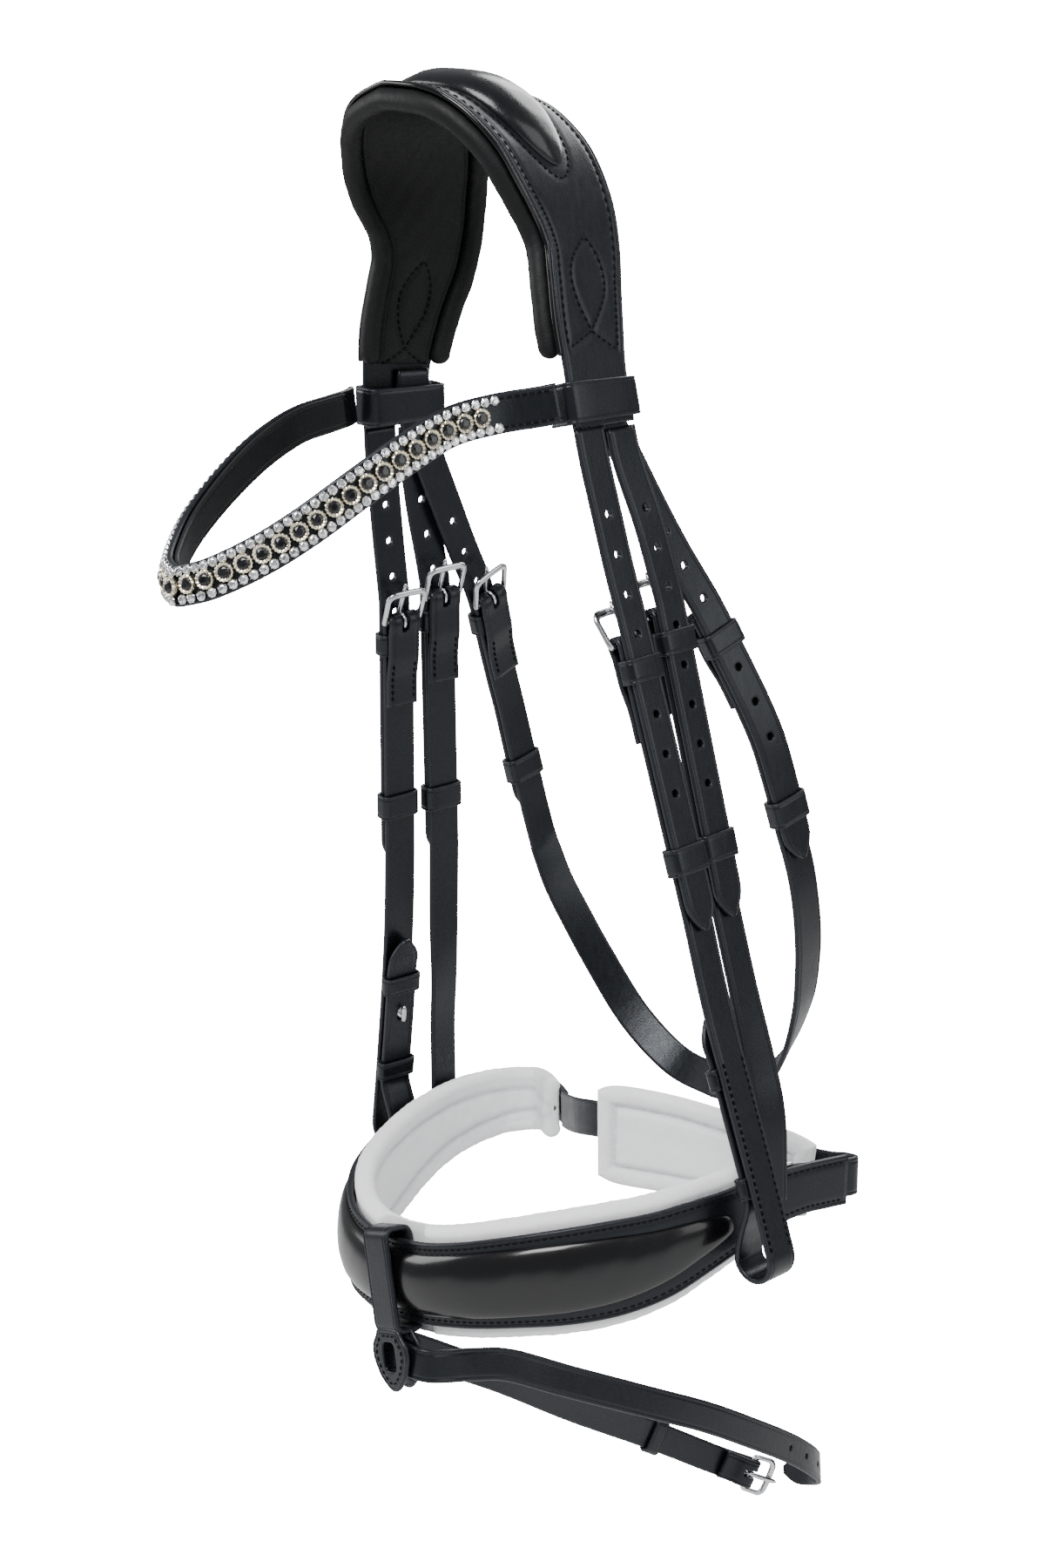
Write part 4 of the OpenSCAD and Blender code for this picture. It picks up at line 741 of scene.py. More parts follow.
gilt = finish("pale gilt", polished((0.62, 0.55, 0.40, 1), (0.90, 0.85, 0.70, 1), 0.16, 0.15), metallic=1.0)
silver = finish("bright silver", polished((0.60, 0.61, 0.63, 1), (0.92, 0.93, 0.94, 1), 0.14, 0.1),
                metallic=1.0)
# The paler tone of the stones and of the crystals is painted glint on their facets.
stone_look = cut_stone((0.001, 0.001, 0.0015, 1), (0.010, 0.010, 0.014, 1), 0.04)
black_stone = finish("black cut stone", stone_look, coat_weight=0.2, coat_roughness=0.02,
                     specular_ior_level=0.4)
crystal_look = cut_stone((0.30, 0.31, 0.34, 1), (0.99, 0.99, 1.0, 1), 0.05, 0.35)
crystal = finish("clear crystal", crystal_look, metallic=0.8, coat_weight=0.5, coat_roughness=0.02)
stone_n = 2 * int((brow.long / 2 - 26) / stone_pitch) + 1
crystal_n = 2 * int((brow.long / 2 - 24) / crystal_pitch) + 1
r = stone_d / 2
cups = set_along(stone_n, stone_pitch, 0, [(r + 0.6, 0, 32, 0, 0), (r + 0.75, 1.2, 32, 0, 0.04),
                                           (r + 0.75, 2.1, 32, 0, 0.09), (r + 0.2, 2.45, 32, 0, 0.05),
                                           (r - 0.55, 2.0, 32, 0, 0.1), (r - 0.7, 1.6, 32, 0, 0)])
fit("gilt cups", [cups], gilt, "browband", "stone_cups", slot="cup_metal", flat=True)
cut = [(r - 0.6, 1.5, 8, 0, 0), (r - 0.6, 2.0, 8, 0, 0), (r - 1.1, 2.6, 8, 0.5, 0), (r - 1.8, 2.95, 8, 0, 0)]
stones = fit("black stones", [set_along(stone_n, stone_pitch, 0, cut)], black_stone, "browband",
             "black_stones", slot="black_stone", flat=True)
facets(stones, 4)
c, aside = 2.0, 5.35
claws = [(c, 0, 8, 0.5, 0), (c + 0.05, 0.6, 8, 0.5, 0), (c - 0.1, 1.0, 8, 0.5, 0.12),
         (c - 0.4, 0.85, 8, 0.5, 0)]
cut = [(c - 0.3, 0.8, 8, 0, 0), (c - 0.28, 1.05, 8, 0, 0), (c - 0.65, 1.5, 8, 0.5, 0),
       (c - 1.15, 1.75, 8, 0, 0)]
made = [set_along(crystal_n, crystal_pitch, x * aside, claws) for x in (-1, 1)]
fit("silver crystal cups", made, silver, "browband", slot="cup_metal", flat=True)
made = [set_along(crystal_n, crystal_pitch, x * aside, cut) for x in (-1, 1)]
crystals = fit("clear crystals", made, crystal, "browband", "crystal_rows", slot="clear_crystal", flat=True)
facets(crystals, 9)

# ---------------------------------------------------------------- cheekpieces
# Each cheekpiece is a strap of the same leather. Its top is folded round a buckle bar and sewn down
# behind itself; its foot is a loop that holds the bit ring, hooked on a steel stud on the inside and kept
# by two loops.
steel = finish("polished steel", polished((0.50, 0.51, 0.53, 1), (0.74, 0.75, 0.77, 1), 0.09), metallic=1.0)
wire_r, gap, bar_in = 1.3, 0.3, 5.9
fold_r = wire_r + gap + leather_t / 2
keeper_at, keeper_l, keeper_t, loop_gap, chape_l = 11.0, 10.0, 1.5, 0.4, 40.0
fold_wide, fold_shut = layer + leather_t + keeper_t + 0.4, layer + leather_t + 0.1


def folded_end(way, bar):
    """Rows of a strap's folded top, from the end of the inner leg up to the bar and round it. The leg's
    depth behind the billet eases from close against the strap to clear of the keeper and out to the
    fold."""
    down = np.array([chape_l, 34, 30, 26, 22, 17, 11, 5.5, 3])
    eased = [bar_in + fold_r - 0.2, fold_wide + 0.3, fold_wide, fold_shut, fold_shut]
    depth = np.interp(down, [0, 5, 17, 27, 40], eased)
    p, o = way.of(way.p, bar + down), unit(way.of(way.o, bar + down))
    leg = np.hstack([p - o * depth[:, None], -o])
    p, up, out = (way.of(f, np.array([bar]))[0] for f in (way.p, -way.t, way.o))
    turn = np.radians(np.arange(-90, 91, 10))[:, None]
    q = out * np.sin(turn) + up * np.cos(turn)
    return np.vstack([leg, np.hstack([p - out * bar_in + q * fold_r, q])])


def nearest(way, point):
    """Distance along a way to its point nearest a given one."""
    return float(way.s[np.argmin(np.linalg.norm(way.p - point, axis=1))])


def placed(way, s, points, lean=0.0, depth=0.0):
    """Points given across, outward and up a strap, leaned inwards about the across axis, stood at s
    behind the way."""
    x, y, z = np.moveaxis(np.asarray(points, float), -1, 0)
    c, d = np.cos(np.radians(lean)), np.sin(np.radians(lean))
    y, z = y * c - z * d, y * d + z * c
    p, t, o, a = (way.of(f, np.array([s]))[0] for f in (way.p, way.t, way.o, way.a))
    return p - x[..., None] * a + (y - depth)[..., None] * o - z[..., None] * t


def pointing(way, s, axis, lean=0.0):
    """The direction that an across, outward or up axis has at s on a way."""
    return placed(way, s, axis, lean) - placed(way, s, (0, 0, 0), lean)


def wired(path, wide, thick, side, m=14, loop=False):
    """Bar of oval section swept along a path: wide in the direction across both the path and side, thick
    along side."""
    t = unit(np.roll(path, -1, 0) - np.roll(path, 1, 0) if loop else np.gradient(path, axis=0))
    n = unit(np.cross(t, side))
    b = np.cross(n, t)
    turn = np.arange(m) * 2 * np.pi / m
    wide, thick = (np.broadcast_to(v, len(path))[:, None, None] for v in (wide, thick))
    points = (path[:, None] + n[:, None] * wide / 2 * np.cos(turn)[None, :, None]
              + b[:, None] * thick / 2 * np.sin(turn)[None, :, None]).reshape(-1, 3)
    quads = net(len(path), m, loop=loop)
    if not loop:
        quads = np.vstack([quads, ends(len(path), m)])
    return points, outward(points, quads), np.zeros(len(points))


def buckle(way, s, inside, high, lean, depth):
    """The frame of a buckle: a slim round bar and arms that swell and bow out into a broad flattened nose.
    Returned with its tongue, a rod coiled round the bar that runs out behind the nose and past it."""
    half = (inside + 2 * wire_r) / 2
    a = np.radians(np.linspace(0, 90, 9))
    corner = 3.4
    arm_z = np.linspace(1.2, high - corner, 9)
    arm_x = half - 0.25 + 0.25 * np.sin(np.pi / 2 * arm_z / high)
    arm = np.c_[arm_x, arm_z]
    bend = np.c_[half - corner + corner * np.cos(a), high - corner + corner * np.sin(a)][1:]
    nose = np.c_[np.linspace(half - corner, 0, 7)[1:], high + 0.25 * np.sin(np.linspace(0, np.pi / 2, 7))[1:]]
    bar = np.c_[np.linspace(0, half - 1.2, 6), np.zeros(6)]
    foot = np.c_[half - 1.2 + 0.95 * np.sin([0.6, 1.2]), 1.2 - 1.2 * np.cos([0.6, 1.2])]
    right = np.vstack([bar, foot, arm, bend, nose])
    path = np.vstack([right, (right * [-1, 1])[::-1][1:-1]])
    z = path[:, 1]
    wide = 2.5 + 1.0 * np.clip((z - high + 5) / 5, 0, 1) ** 1.5
    thick = 2.5 - 0.25 * np.clip((z - 3) / 6, 0, 1)
    flat = np.stack([path[:, 0], 0 * z, z], -1)
    frame_shell = wired(placed(way, s, flat, lean, depth), wide, thick, pointing(way, s, (0, 1, 0), lean),
                        loop=True)
    coil_a = np.radians(np.linspace(-80, 265, 24))
    coil = placed(way, s, np.stack([0 * coil_a, -(wire_r + 1.0) * np.sin(coil_a),
                                    (wire_r + 1.0) * np.cos(coil_a)], -1), lean, depth)
    rod_z = np.linspace(-0.6, high + wire_r + 2.2, 16)
    rod_y = wire_r + 1.35 + 0.5 * np.sin(np.clip(rod_z / high, 0, 1) * np.pi) - 0.15
    rod = placed(way, s, np.stack([0 * rod_z, rod_y, rod_z], -1), lean, depth)
    across = pointing(way, s, (1, 0, 0), lean)
    taper = np.r_[np.full(13, 1.0), 0.93, 0.75, 0.35]
    return frame_shell, [wired(coil, 3.2, 1.9, across), wired(rod, 2.2 * taper, 2.5 * taper, across)]


def buckle_set(name, way, s, frame_node, tongue_node, inside=16.6, high=15.0, lean=20.0, depth=bar_in):
    """One buckle's frame and tongue, each on the body of its own name."""
    frame_shell, tongue_shells = buckle(way, s, inside, high, lean, depth)
    fit(name + " frame", [frame_shell], steel, frame_node, frame_node, slot="buckle_steel")
    fit(name + " tongue", tongue_shells, steel, tongue_node, tongue_node, slot="buckle_steel")


def hitched(way, bar, side, kind, runner_at, body):
    """The metal and the loops at a billet's buckle: frame, tongue, sewn keeper and sliding runner."""
    buckle_set(kind + " buckle " + side, way, bar, f"{kind}_frame_{side}", f"{kind}_tongue_{side}")
    front, back = leather_t / 2 + loop_gap, layer + leather_t / 2
    w = strap_w / 2 + loop_gap
    keeper = band(way, bar + keeper_at, -w, w, -back - 0.1, front, keeper_l, keeper_t)
    fit(f"{kind} keeper {side}", [keeper], bridle_hide, body, f"{kind}_keeper_{side}", slot="bridle_leather")
    runner = band(way, bar + runner_at, -w, w, -back - loop_gap, front, keeper_l + 1.5, keeper_t)
    fit(f"{kind} runner {side}", [runner], bridle_hide, f"{kind}_runner_{side}", f"{kind}_runner_{side}",
        slot="bridle_leather")


tongue_slot = (2.0, 7.0)
fold_seam, foot_seam_z = np.linspace(2.5, 20, 5), (-383, -459)
bit_r, sewn_gap, stud_up = 9.0, 0.15, 60.0
return_stack = leather_t + keeper_t + 2 * sewn_gap
cheek_turn = cheek.down_to(-462)
for side, rows in (("near", cheek_rows), ("far", to_far(cheek_rows))):
    way = Way(rows)
    body = "cheek_" + side
    p, up, out = (way.of(f, np.array([cheek_turn]))[0] for f in (way.p, -way.t, way.o))
    turn = np.radians(np.arange(80, -91, -10))[:, None]
    q = out * np.sin(turn) - up * np.cos(turn)
    loop_rows = np.hstack([p - out * (layer + bit_r) + q * bit_r, q])
    back_at = np.array([6, 12, 18, 24.5, 42, 54, 66, 82, 90, 100])
    back_depth = np.array([2 * bit_r - 2.6, return_stack + 7.2, return_stack + 3] + [return_stack] * 5
                          + [return_stack + 1, return_stack + 2.4])
    o = unit(way.of(way.o, cheek_turn - back_at))
    back = np.hstack([way.of(way.p, cheek_turn - back_at) - o * (layer + back_depth)[:, None], -o])
    route = np.vstack([folded_end(way, cheek_bar), way.cut(cheek_bar + 5, cheek_turn - 1, -layer, 1, 90),
                       loop_rows, curve(back, 4)])
    piece = Way(route)
    fold_mid = nearest(piece, placed(way, cheek_bar, (0, -bar_in, fold_r)))
    stud_hole = nearest(piece, placed(way, cheek_turn - stud_up, (0, -layer - return_stack, 0)))
    made = strap(piece, strap_w, leather_t, 0, piece.long, tips=(0, 14),
                 holes=[(fold_mid, *tongue_slot), (stud_hole, 1.8, 1.6)], step=1.6)
    fit("cheekpiece " + side, [made], bridle_hide, body, "cheek_strap_" + side, slot="bridle_leather")
    face = Way(way.cut(0, cheek_turn - 1, -layer, 1, 300))
    foot_seam = np.linspace(*(nearest(face, way.of(way.p, np.array([way.down_to(z)]))[0])
                              for z in foot_seam_z), 12)
    fit("cheekpiece stitching " + side, two_rows(face, foot_seam) + two_rows(piece, fold_seam), thread, body)
    hitched(way, cheek_bar, side, "cheek", 90, body)
    w = strap_w / 2 + loop_gap
    bit_loops = [band(way, cheek_turn - s, -w, w, -(layer + return_stack + leather_t / 2 + loop_gap),
                      -(layer + leather_t / 2 + keeper_t + sewn_gap), keeper_l - 1, keeper_t, 1.2)
                 for s in (30, 76)]
    fit("bit loop keepers " + side, bit_loops, bridle_hide, body, "bit_keepers_" + side,
        slot="bridle_leather")
    base = -layer - leather_t / 2 - 0.05
    y = base - np.array([0, 0.5, 0.75, 0.8, return_stack + 2.0])
    post_d = np.array([8, 7.8, 6, 3.2, 3.0])
    post = wired(placed(way, cheek_turn - stud_up, np.stack([0 * y, y, 0 * y], -1)), post_d, post_d,
                 pointing(way, 0, (0, 0, 1)), m=20)
    z = np.linspace(-3.4, 5.4, 16)
    fat = 3.0 * np.sqrt(np.maximum(1 - np.abs((z - 1) / 4.5) ** 4, 0.03))
    hook_y = base - return_stack - 2.25 + 0.25 * (z - 1) ** 2 / 20
    hook = wired(placed(way, cheek_turn - stud_up, np.stack([0 * z, hook_y, z], -1)), fat, fat * 0.85,
                 pointing(way, 0, (1, 0, 0)))
    fit("hook stud " + side, [post, hook], steel, body, "hook_stud_" + side, slot="buckle_steel")

# ---------------------------------------------------------------- noseband hangers
# Two plain straps hang the noseband from the second billets; their feet are sewn between the band and its
# lining.
for side, rows in (("near", hanger_rows), ("far", to_far(hanger_rows))):
    way = Way(rows)
    piece = Way(np.vstack([folded_end(way, hanger_bar), way.cut(hanger_bar + 5, way.long, -layer, 1, 90)]))
    fold_mid = nearest(piece, placed(way, hanger_bar, (0, -bar_in, fold_r)))
    made = strap(piece, strap_w, leather_t, holes=[(fold_mid, *tongue_slot)], step=1.6)
    fit("hanger " + side, [made], bridle_hide, "headpiece", "hanger_strap_" + side, slot="bridle_leather")
    fit("hanger stitching " + side, two_rows(piece, fold_seam), thread, "headpiece")
    hitched(way, hanger_bar, side, "hanger", 97, "headpiece")

# ---------------------------------------------------------------- throatlatch
# One long strap with a buckle at each end; it hangs in a deep bow behind the jaw and turns over as it
# goes round.
throat_far = [(-28, 157, -431, -0.45, 0.75, -0.5), (-52, 150.5, -412, -0.65, 0.65, -0.4),
              (-70, 142.5, -385, -0.8, 0.5, -0.3), (-79.5, 135, -364, -0.88, 0.4, -0.25),
              (-85.5, 128.5, -347, -0.94, 0.25, -0.15), (-89, 122.5, -329, -0.98, 0.1, -0.05)]
bow = Way(np.vstack([throat_rows, curve(np.vstack([throat_low[-1:], throat_far]), 5)[1:]]))
far_leg = throat.cut(throat_bar + 5, throat.down_to(-325), -layer, 1, 40)
far_end = to_far(np.vstack([folded_end(throat, throat_bar), far_leg]))[::-1]
piece = Way(np.vstack([folded_end(throat, throat_bar), bow.cut(throat_bar + 5, bow.long, -layer, 1, 160),
                       far_end]))
folds = [nearest(piece, placed(Way(rows), throat_bar, (0, -bar_in, fold_r)))
         for rows in (throat_rows, to_far(throat_rows))]
made = strap(piece, strap_w, leather_t, holes=[(s, *tongue_slot) for s in folds], step=1.6)
fit("throatlatch", [made], bridle_hide, "headpiece", "throat_strap", slot="bridle_leather")
fit("throatlatch stitching", two_rows(piece, fold_seam) + two_rows(piece, piece.long - fold_seam), thread,
    "headpiece")
for side, rows in (("near", throat_rows), ("far", to_far(throat_rows))):
    hitched(Way(rows), throat_bar, side, "throat", 91, "headpiece")

# ---------------------------------------------------------------- noseband
# A curved band of black leather, wide at the sides and narrow at its ends, with a domed middle under
# patent leather. It is stitched along both borders and lined with a thick white foam pad, rolled at its
# edges and quilted inside.
nose_near = [(0, -35, -487, 0, -1, 0, 35), (20, -33.5, -485, 0.25, -0.97, 0, 35.5),
             (40, -28, -481.5, 0.45, -0.9, 0, 37), (57, -18, -478, 0.65, -0.75, 0, 39),
             (72, -4, -475, 0.8, -0.6, 0, 41), (84, 13, -472, 0.87, -0.5, 0, 41),
             (93, 30, -468, 0.92, -0.4, 0, 38), (100, 46, -462, 0.95, -0.3, 0, 33),
             (105, 62, -456.5, 0.97, -0.22, 0, 28), (108.5, 79, -451, 0.98, -0.15, 0, 24),
             (111, 97, -448.5, 0.99, -0.08, 0, 22), (112, 112, -448.5, 1, -0.03, 0, 22),
             (112.3, 124, -449, 1, 0, 0, 22)]
nose_far = [(-20, -33.5, -487.5, -0.25, -0.97, 0, 35.5), (-40, -28, -486, -0.45, -0.9, 0, 37),
            (-57, -18, -483, -0.65, -0.75, 0, 38), (-72, -4, -478.5, -0.8, -0.6, 0, 38),
            (-84, 13, -473.5, -0.87, -0.5, 0, 36), (-93, 30, -469, -0.92, -0.4, 0, 33),
            (-100, 46, -465, -0.95, -0.3, 0, 30), (-105, 62, -461.5, -0.97, -0.22, 0, 27),
            (-109, 79, -459, -0.98, -0.15, 0, 25), (-111.5, 96, -458, -1, -0.05, 0, 23),
            (-111, 112, -457.5, -0.97, 0.3, 0, 21), (-104, 125, -457, -0.7, 0.72, 0, 20),
            (-91, 131, -456, -0.15, 0.98, 0, 19), (-76, 125, -454.5, 0.35, 0.93, 0, 18),
            (-60, 115.5, -453, 0.5, 0.87, 0, 17)]
nose_band_t, nose_lining_t, nose_over, nose_dome_h = 3.0, 9.0, 6.0, 5.0
nose = Way(np.vstack([curve(np.vstack([nose_near[:1], nose_far]), 5)[::-1], curve(nose_near, 5)[1:]]))
nose_mid = nearest(nose, (0, -35, -487))
dome_ends = nearest(nose, (-105, 62, -461.5)), nearest(nose, (105, 62, -456.5))
band_way = Way(np.hstack([nose.rows[:, :3] - nose.o * nose_band_t / 2, nose.o, nose.rows[:, 6:]]))
s_all = np.linspace(3, nose.long - 3, 260)
nose_lines = [(s_all * band_way.long / nose.long, d * (nose.wide(s_all) / 2 - 2.8)) for d in (-1, 1)]
nose_press = pressed(nose_lines, 0.35, 0.9)
made = strap(band_way, lambda s: nose.wide(s * nose.long / band_way.long), nose_band_t, relief=nose_press,
             core=(0.9, 0.8, 0.65, 0.5, 0.35, 0.2), step=2.2)
fit("noseband leather", [made], bridle_hide, "headpiece", "nose_band", slot="bridle_leather")
fit("noseband stitching", [stitches(band_way, a, b, lambda s, x: nose_band_t / 2 + nose_press(s, x))
                           for a, b in nose_lines], thread, "headpiece")


def bolster(way, a, b, half, high, base, n=150, m=44):
    """A dome along a way from a to b: half(s) wide at s, tapering at its ends as sin(pi u)^0.22, and high
    times sin(pi u)^0.4 in its middle, with a round section (1 - v2)^0.55."""
    u = (1 - np.cos(np.linspace(0, 1, n) * np.pi)) / 2
    v = np.sin(np.linspace(-1, 1, m) * np.pi / 2)
    s = (a + (b - a) * u)[:, None]
    e = np.maximum(np.sin(np.pi * u), 0)[:, None]
    x = half(s) * np.maximum(e ** 0.22, 0.02) * v
    up = high * e ** 0.4 * np.maximum(1 - v * v, 0) ** 0.55
    up = up + 0.10 * ripple(s, x, 12.0) * np.minimum(1, up)
    top, low = way.lay(s, -x, base + up), way.lay(s, x, base - 0.25 + 0 * up)
    points = np.concatenate([top, low], 1).reshape(-1, 3)
    quads = np.vstack([net(n, 2 * m), ends(n, 2 * m)])
    return points, outward(points, quads), np.zeros(len(points))


glazed_look = coated((0.0012, 0.0012, 0.0016, 1), (0.0032, 0.0032, 0.0040, 1), 0.2)
glazed = finish("glazed calf", glazed_look, coat_weight=0.4, coat_roughness=0.14, specular_ior_level=0.3)
dome = fit("noseband dome", [bolster(nose, *dome_ends, lambda s: (nose.wide(s) - 8.6) / 2, nose_dome_h,
                                     0.25)], glazed, "headpiece", "nose_dome", slot="smooth_leather")


def soft_white(deep, pale, gloss):
    """Soft white pad leather: warm painted shade in its hollows, a fine grain and slack wrinkles."""
    def changing(wire):
        at = wire.node("TexCoord", {}, {}, "Object")
        cloud = wire.noise(at, 22.0, 4.0)
        grain = wire.node("TexVoronoi", {}, {"Vector": at, "Scale": 1400.0})
        slack = wire.noise(wire.node("Mapping", {}, {"Vector": at, "Scale": (1.0, 1.0, 0.6)}), 130.0, 4.0,
                           0.6)
        # Painted shade: the colour is drawn towards the deep tone in the quilting grooves and seams.
        painted_hollow_shade = wire.node("Attribute", {"attribute_name": "rub"}, {}, "Fac")
        bump = wire.node("Bump", {}, {"Strength": 0.35, "Distance": 0.0012, "Height": slack + grain * 0.10})
        return {"Base Color": wire.blend(cloud * 0.5 + painted_hollow_shade * 0.7, pale, deep),
                "Roughness": gloss + slack * 0.15, "Normal": bump}
    return changing


# The deep tone of the white pads doubles as their painted shade in the hollows.
white_look = soft_white((0.72, 0.73, 0.75, 1), (0.93, 0.935, 0.945, 1), 0.45)
white_hide = finish("soft white pad leather", white_look, coat_weight=0.06, subsurface_weight=0.06,
                    subsurface_radius=(0.002, 0.0018, 0.0016), subsurface_scale=1.0)
white_thread = finish("white thread", soft_white((0.55, 0.56, 0.58, 1), (0.78, 0.79, 0.8, 1), 0.6))


def quilted(way, s0, s1, high, thick, lift, quilt, pocket=None, step=1.8):
    """A long pad with a stuffed roll along each edge and quilted lines on its inner face. The ring runs
    round from the outer face: a roll is a circle of half the thickness, the inner face is crowned and
    drops 1.7 exp(-(d/1.7)2) into a quilting line at distance d, and puckers run off the lines as sin(2 pi
    s / 6) exp(-d / 4)."""
    r = thick / 2
    near_end = r * (1 - np.cos(np.linspace(0, 1, 7) * np.pi / 2))
    s = np.r_[s0 + near_end, np.linspace(s0 + r, s1 - r, int((s1 - s0) / step))[1:-1], (s1 - near_end)[::-1]]
    half = high(s)[:, None] / 2
    q = np.clip(1 - np.minimum(s - s0, s1 - s)[:, None] / r, 0, 1)
    slim = np.sqrt(np.maximum(1 - q * q, 0.02))
    arc = np.linspace(np.pi / 2, -np.pi / 2, 15)
    right = np.stack([np.cos(arc), np.sin(arc)], -1)
    flat = np.linspace(1, -1, 26)[1:-1]
    inner_x, outer_x = (half - r) * flat, -(half - r) * flat[::2]
    d = np.abs(np.abs(inner_x) - (half - quilt))
    crown = 0.9 + 0.1 * np.cos(np.pi * flat / 2)
    block = np.clip((s[:, None] - s0 - 20) / 8, 0, 1)
    groove = 1.7 * np.exp(-(d / 1.7) ** 2) * block + 1.5 * np.exp(-((s[:, None] - s0 - 24) / 1.6) ** 2)
    wave = np.sin(2 * np.pi * s[:, None] / 6.3 + 2.2 * ripple(s[:, None], inner_x, 17.0))
    pucker = 0.22 * wave * np.exp(-d / 4.5)
    sag = 0.35 * ripple(s[:, None], inner_x, 9.0) + 0.25 * ripple(s[:, None] + 40, inner_x * 1.7, 23.0)
    inner_h = -r * crown + groove + (pucker + sag) * np.minimum(1, d / 1.5)
    gathers = np.sin(2 * np.pi * s[:, None] / 5.7 + 2 * ripple(s[:, None], 0 * s[:, None], 19.0))
    fat = 1 + 0.035 * ripple(s[:, None], 14 * arc[None], 6.0) + 0.02 * gathers
    x = np.hstack([half - r + r * right[:, 0] * fat, inner_x, -(half - r) - r * right[::-1, 0] * fat,
                   -outer_x[:, ::-1]])
    h = np.hstack([r * right[:, 1] * fat, inner_h, r * right[::-1, 1] * fat, np.full_like(outer_x, r - 0.5)])
    # deep is painted shade: the colour darkens along the quilting lines of the inner face.
    deep = np.hstack([0 * right[:, 0] + 0 * half, np.exp(-(d / 2.2) ** 2), 0 * right[:, 0] + 0 * half,
                      0 * outer_x])
    if x.shape[1] % 2:
        x, h, deep = (np.hstack([v, (v[:, -1:] + v[:, :1]) / 2]) for v in (x, h, deep))
    x = x - np.sign(x) * (1 - slim) * r * 0.6
    h = np.minimum(h * slim, pocket(s)[:, None] if pocket else r)
    points = way.lay(s[:, None], x, lift + h).reshape(-1, 3)
    quads = np.vstack([net(len(s), x.shape[1]), ends(len(s), x.shape[1])])
    return points, outward(points, quads), deep.ravel()


nose_back = nose_band_t + nose_lining_t / 2 + 0.5
lining_end = nearest(nose, (108.5, 79, -451)) - 4
quilt = 10.5


def carrier_pocket(s):
    """Room in front of the lining for the back of the flash carrier: a flat bottomed dip of smooth
    sides."""
    q = np.clip((19 - np.abs(s - nose_mid)) / 5, 0, 1)
    return nose_lining_t / 2 - 4.2 * q * q * (3 - 2 * q)


made = quilted(nose, 0, lining_end, lambda s: nose.wide(s) + 2 * nose_over, nose_lining_t, -nose_back, quilt,
               carrier_pocket)
lining = fit("white noseband lining", [made], white_hide, "headpiece", "nose_lining", slot="white_padding")
inside = Way(np.hstack([nose.rows[:, :3] - nose.o * nose_back, -nose.o, nose.rows[:, 6:]]))
s_in = np.linspace(27, nearest(inside, nose.lay(lining_end, 0, -nose_back)) - 6, 240)
fit("white lining stitching", [stitches(inside, s_in, d * (inside.wide(s_in) / 2 + nose_over - quilt), 2.5,
                                        3.4) for d in (-1, 1)], white_thread, "headpiece")

# ---------------------------------------------------------------- chin strap and chin pad
# A plain strap runs from the far end of the noseband behind the chin, through the near tab and back; its
# end is folded round the bar of a roller buckle. A broad white pad with a rolled border lies in front of
# it.
jaw_w, chin_t = 17.0, 9.0
jaw = [(-57.5, 110, -452, 0.5, 0.87, 0), (-46, 103.5, -450, 0.5, 0.87, 0), (-28, 94.5, -446, 0.35, 0.93, 0),
       (-9, 90, -442.5, 0.05, 1, 0), (10, 93.5, -442.5, -0.3, 0.95, 0), (30, 103, -444, -0.45, 0.89, 0),
       (55, 116, -447, -0.47, 0.88, 0), (78, 128, -450, -0.45, 0.89, 0), (92, 133.5, -451, -0.3, 0.95, 0)]
jaw_turn = [(100, 136.6, -450.5, 0.1, 1, 0), (106.3, 135.4, -450, 0.75, 0.66, 0),
            (108.4, 130.5, -449.6, 1, 0.1, 0), (107, 122, -449.3, 1, -0.1, 0),
            (106, 112, -449.2, 0.98, -0.1, 0), (104.8, 100, -449.5, 0.99, -0.1, 0)]


def turned_end(rows):
    """Rows of an end that folds inwards round a bar, at fold_r behind the last row, and lies back along
    itself."""
    way = Way(rows)
    p, t, o = way.p[-1], way.t[-1], way.o[-1]
    middle = p - o * fold_r
    a = np.radians(np.arange(10, 181, 10))[:, None]
    q = o * np.cos(a) + t * np.sin(a)
    s = np.array([3, 6, 9, 12, 16])[:, None]
    shut = leather_t + 0.25 - fold_r
    back = middle - o * np.interp(s, [0, 5, 10, 16], [fold_r, fold_r, shut, shut]) - t * s
    return np.vstack([way.rows[:, :6], np.hstack([middle + q * fold_r, q]),
                      np.hstack([back, np.tile(-o, (5, 1))])]), way


jaw_rows, jaw_plain = turned_end(np.vstack([curve(np.vstack([jaw, jaw_turn[:1]]), 4),
                                            curve(jaw_turn, 6)[1:]]))
chin_strap = Way(jaw_rows)
fold_mid = nearest(chin_strap, jaw_plain.p[-1] - jaw_plain.o[-1] * fold_r + jaw_plain.t[-1] * fold_r)
made = strap(chin_strap, jaw_w, leather_t, holes=[(fold_mid, *tongue_slot)], step=1.6)
fit("chin strap", [made], bridle_hide, "headpiece", "jaw_strap", slot="bridle_leather")
fit("chin strap stitching", two_rows(jaw_plain, np.r_[1.0, nearest(jaw_plain, (78, 128, -450))], 6.2), thread,
    "headpiece")
buckle_set("crank buckle", jaw_plain, jaw_plain.long, "crank_frame", "crank_tongue", jaw_w + 2 * gap, 12.0,
           180.0, fold_r)

chin = Way(curve([(2, 79, -444, -0.3, 0.95, 0, 44), (12, 83.5, -444, -0.42, 0.9, 0, 46),
                  (34, 94.5, -445.5, -0.47, 0.88, 0, 45), (58, 107, -449, -0.47, 0.88, 0, 42),
                  (78, 117.5, -452, -0.45, 0.89, 0, 39), (92, 123, -454, -0.35, 0.94, 0, 36)], 8))
border = 9.0


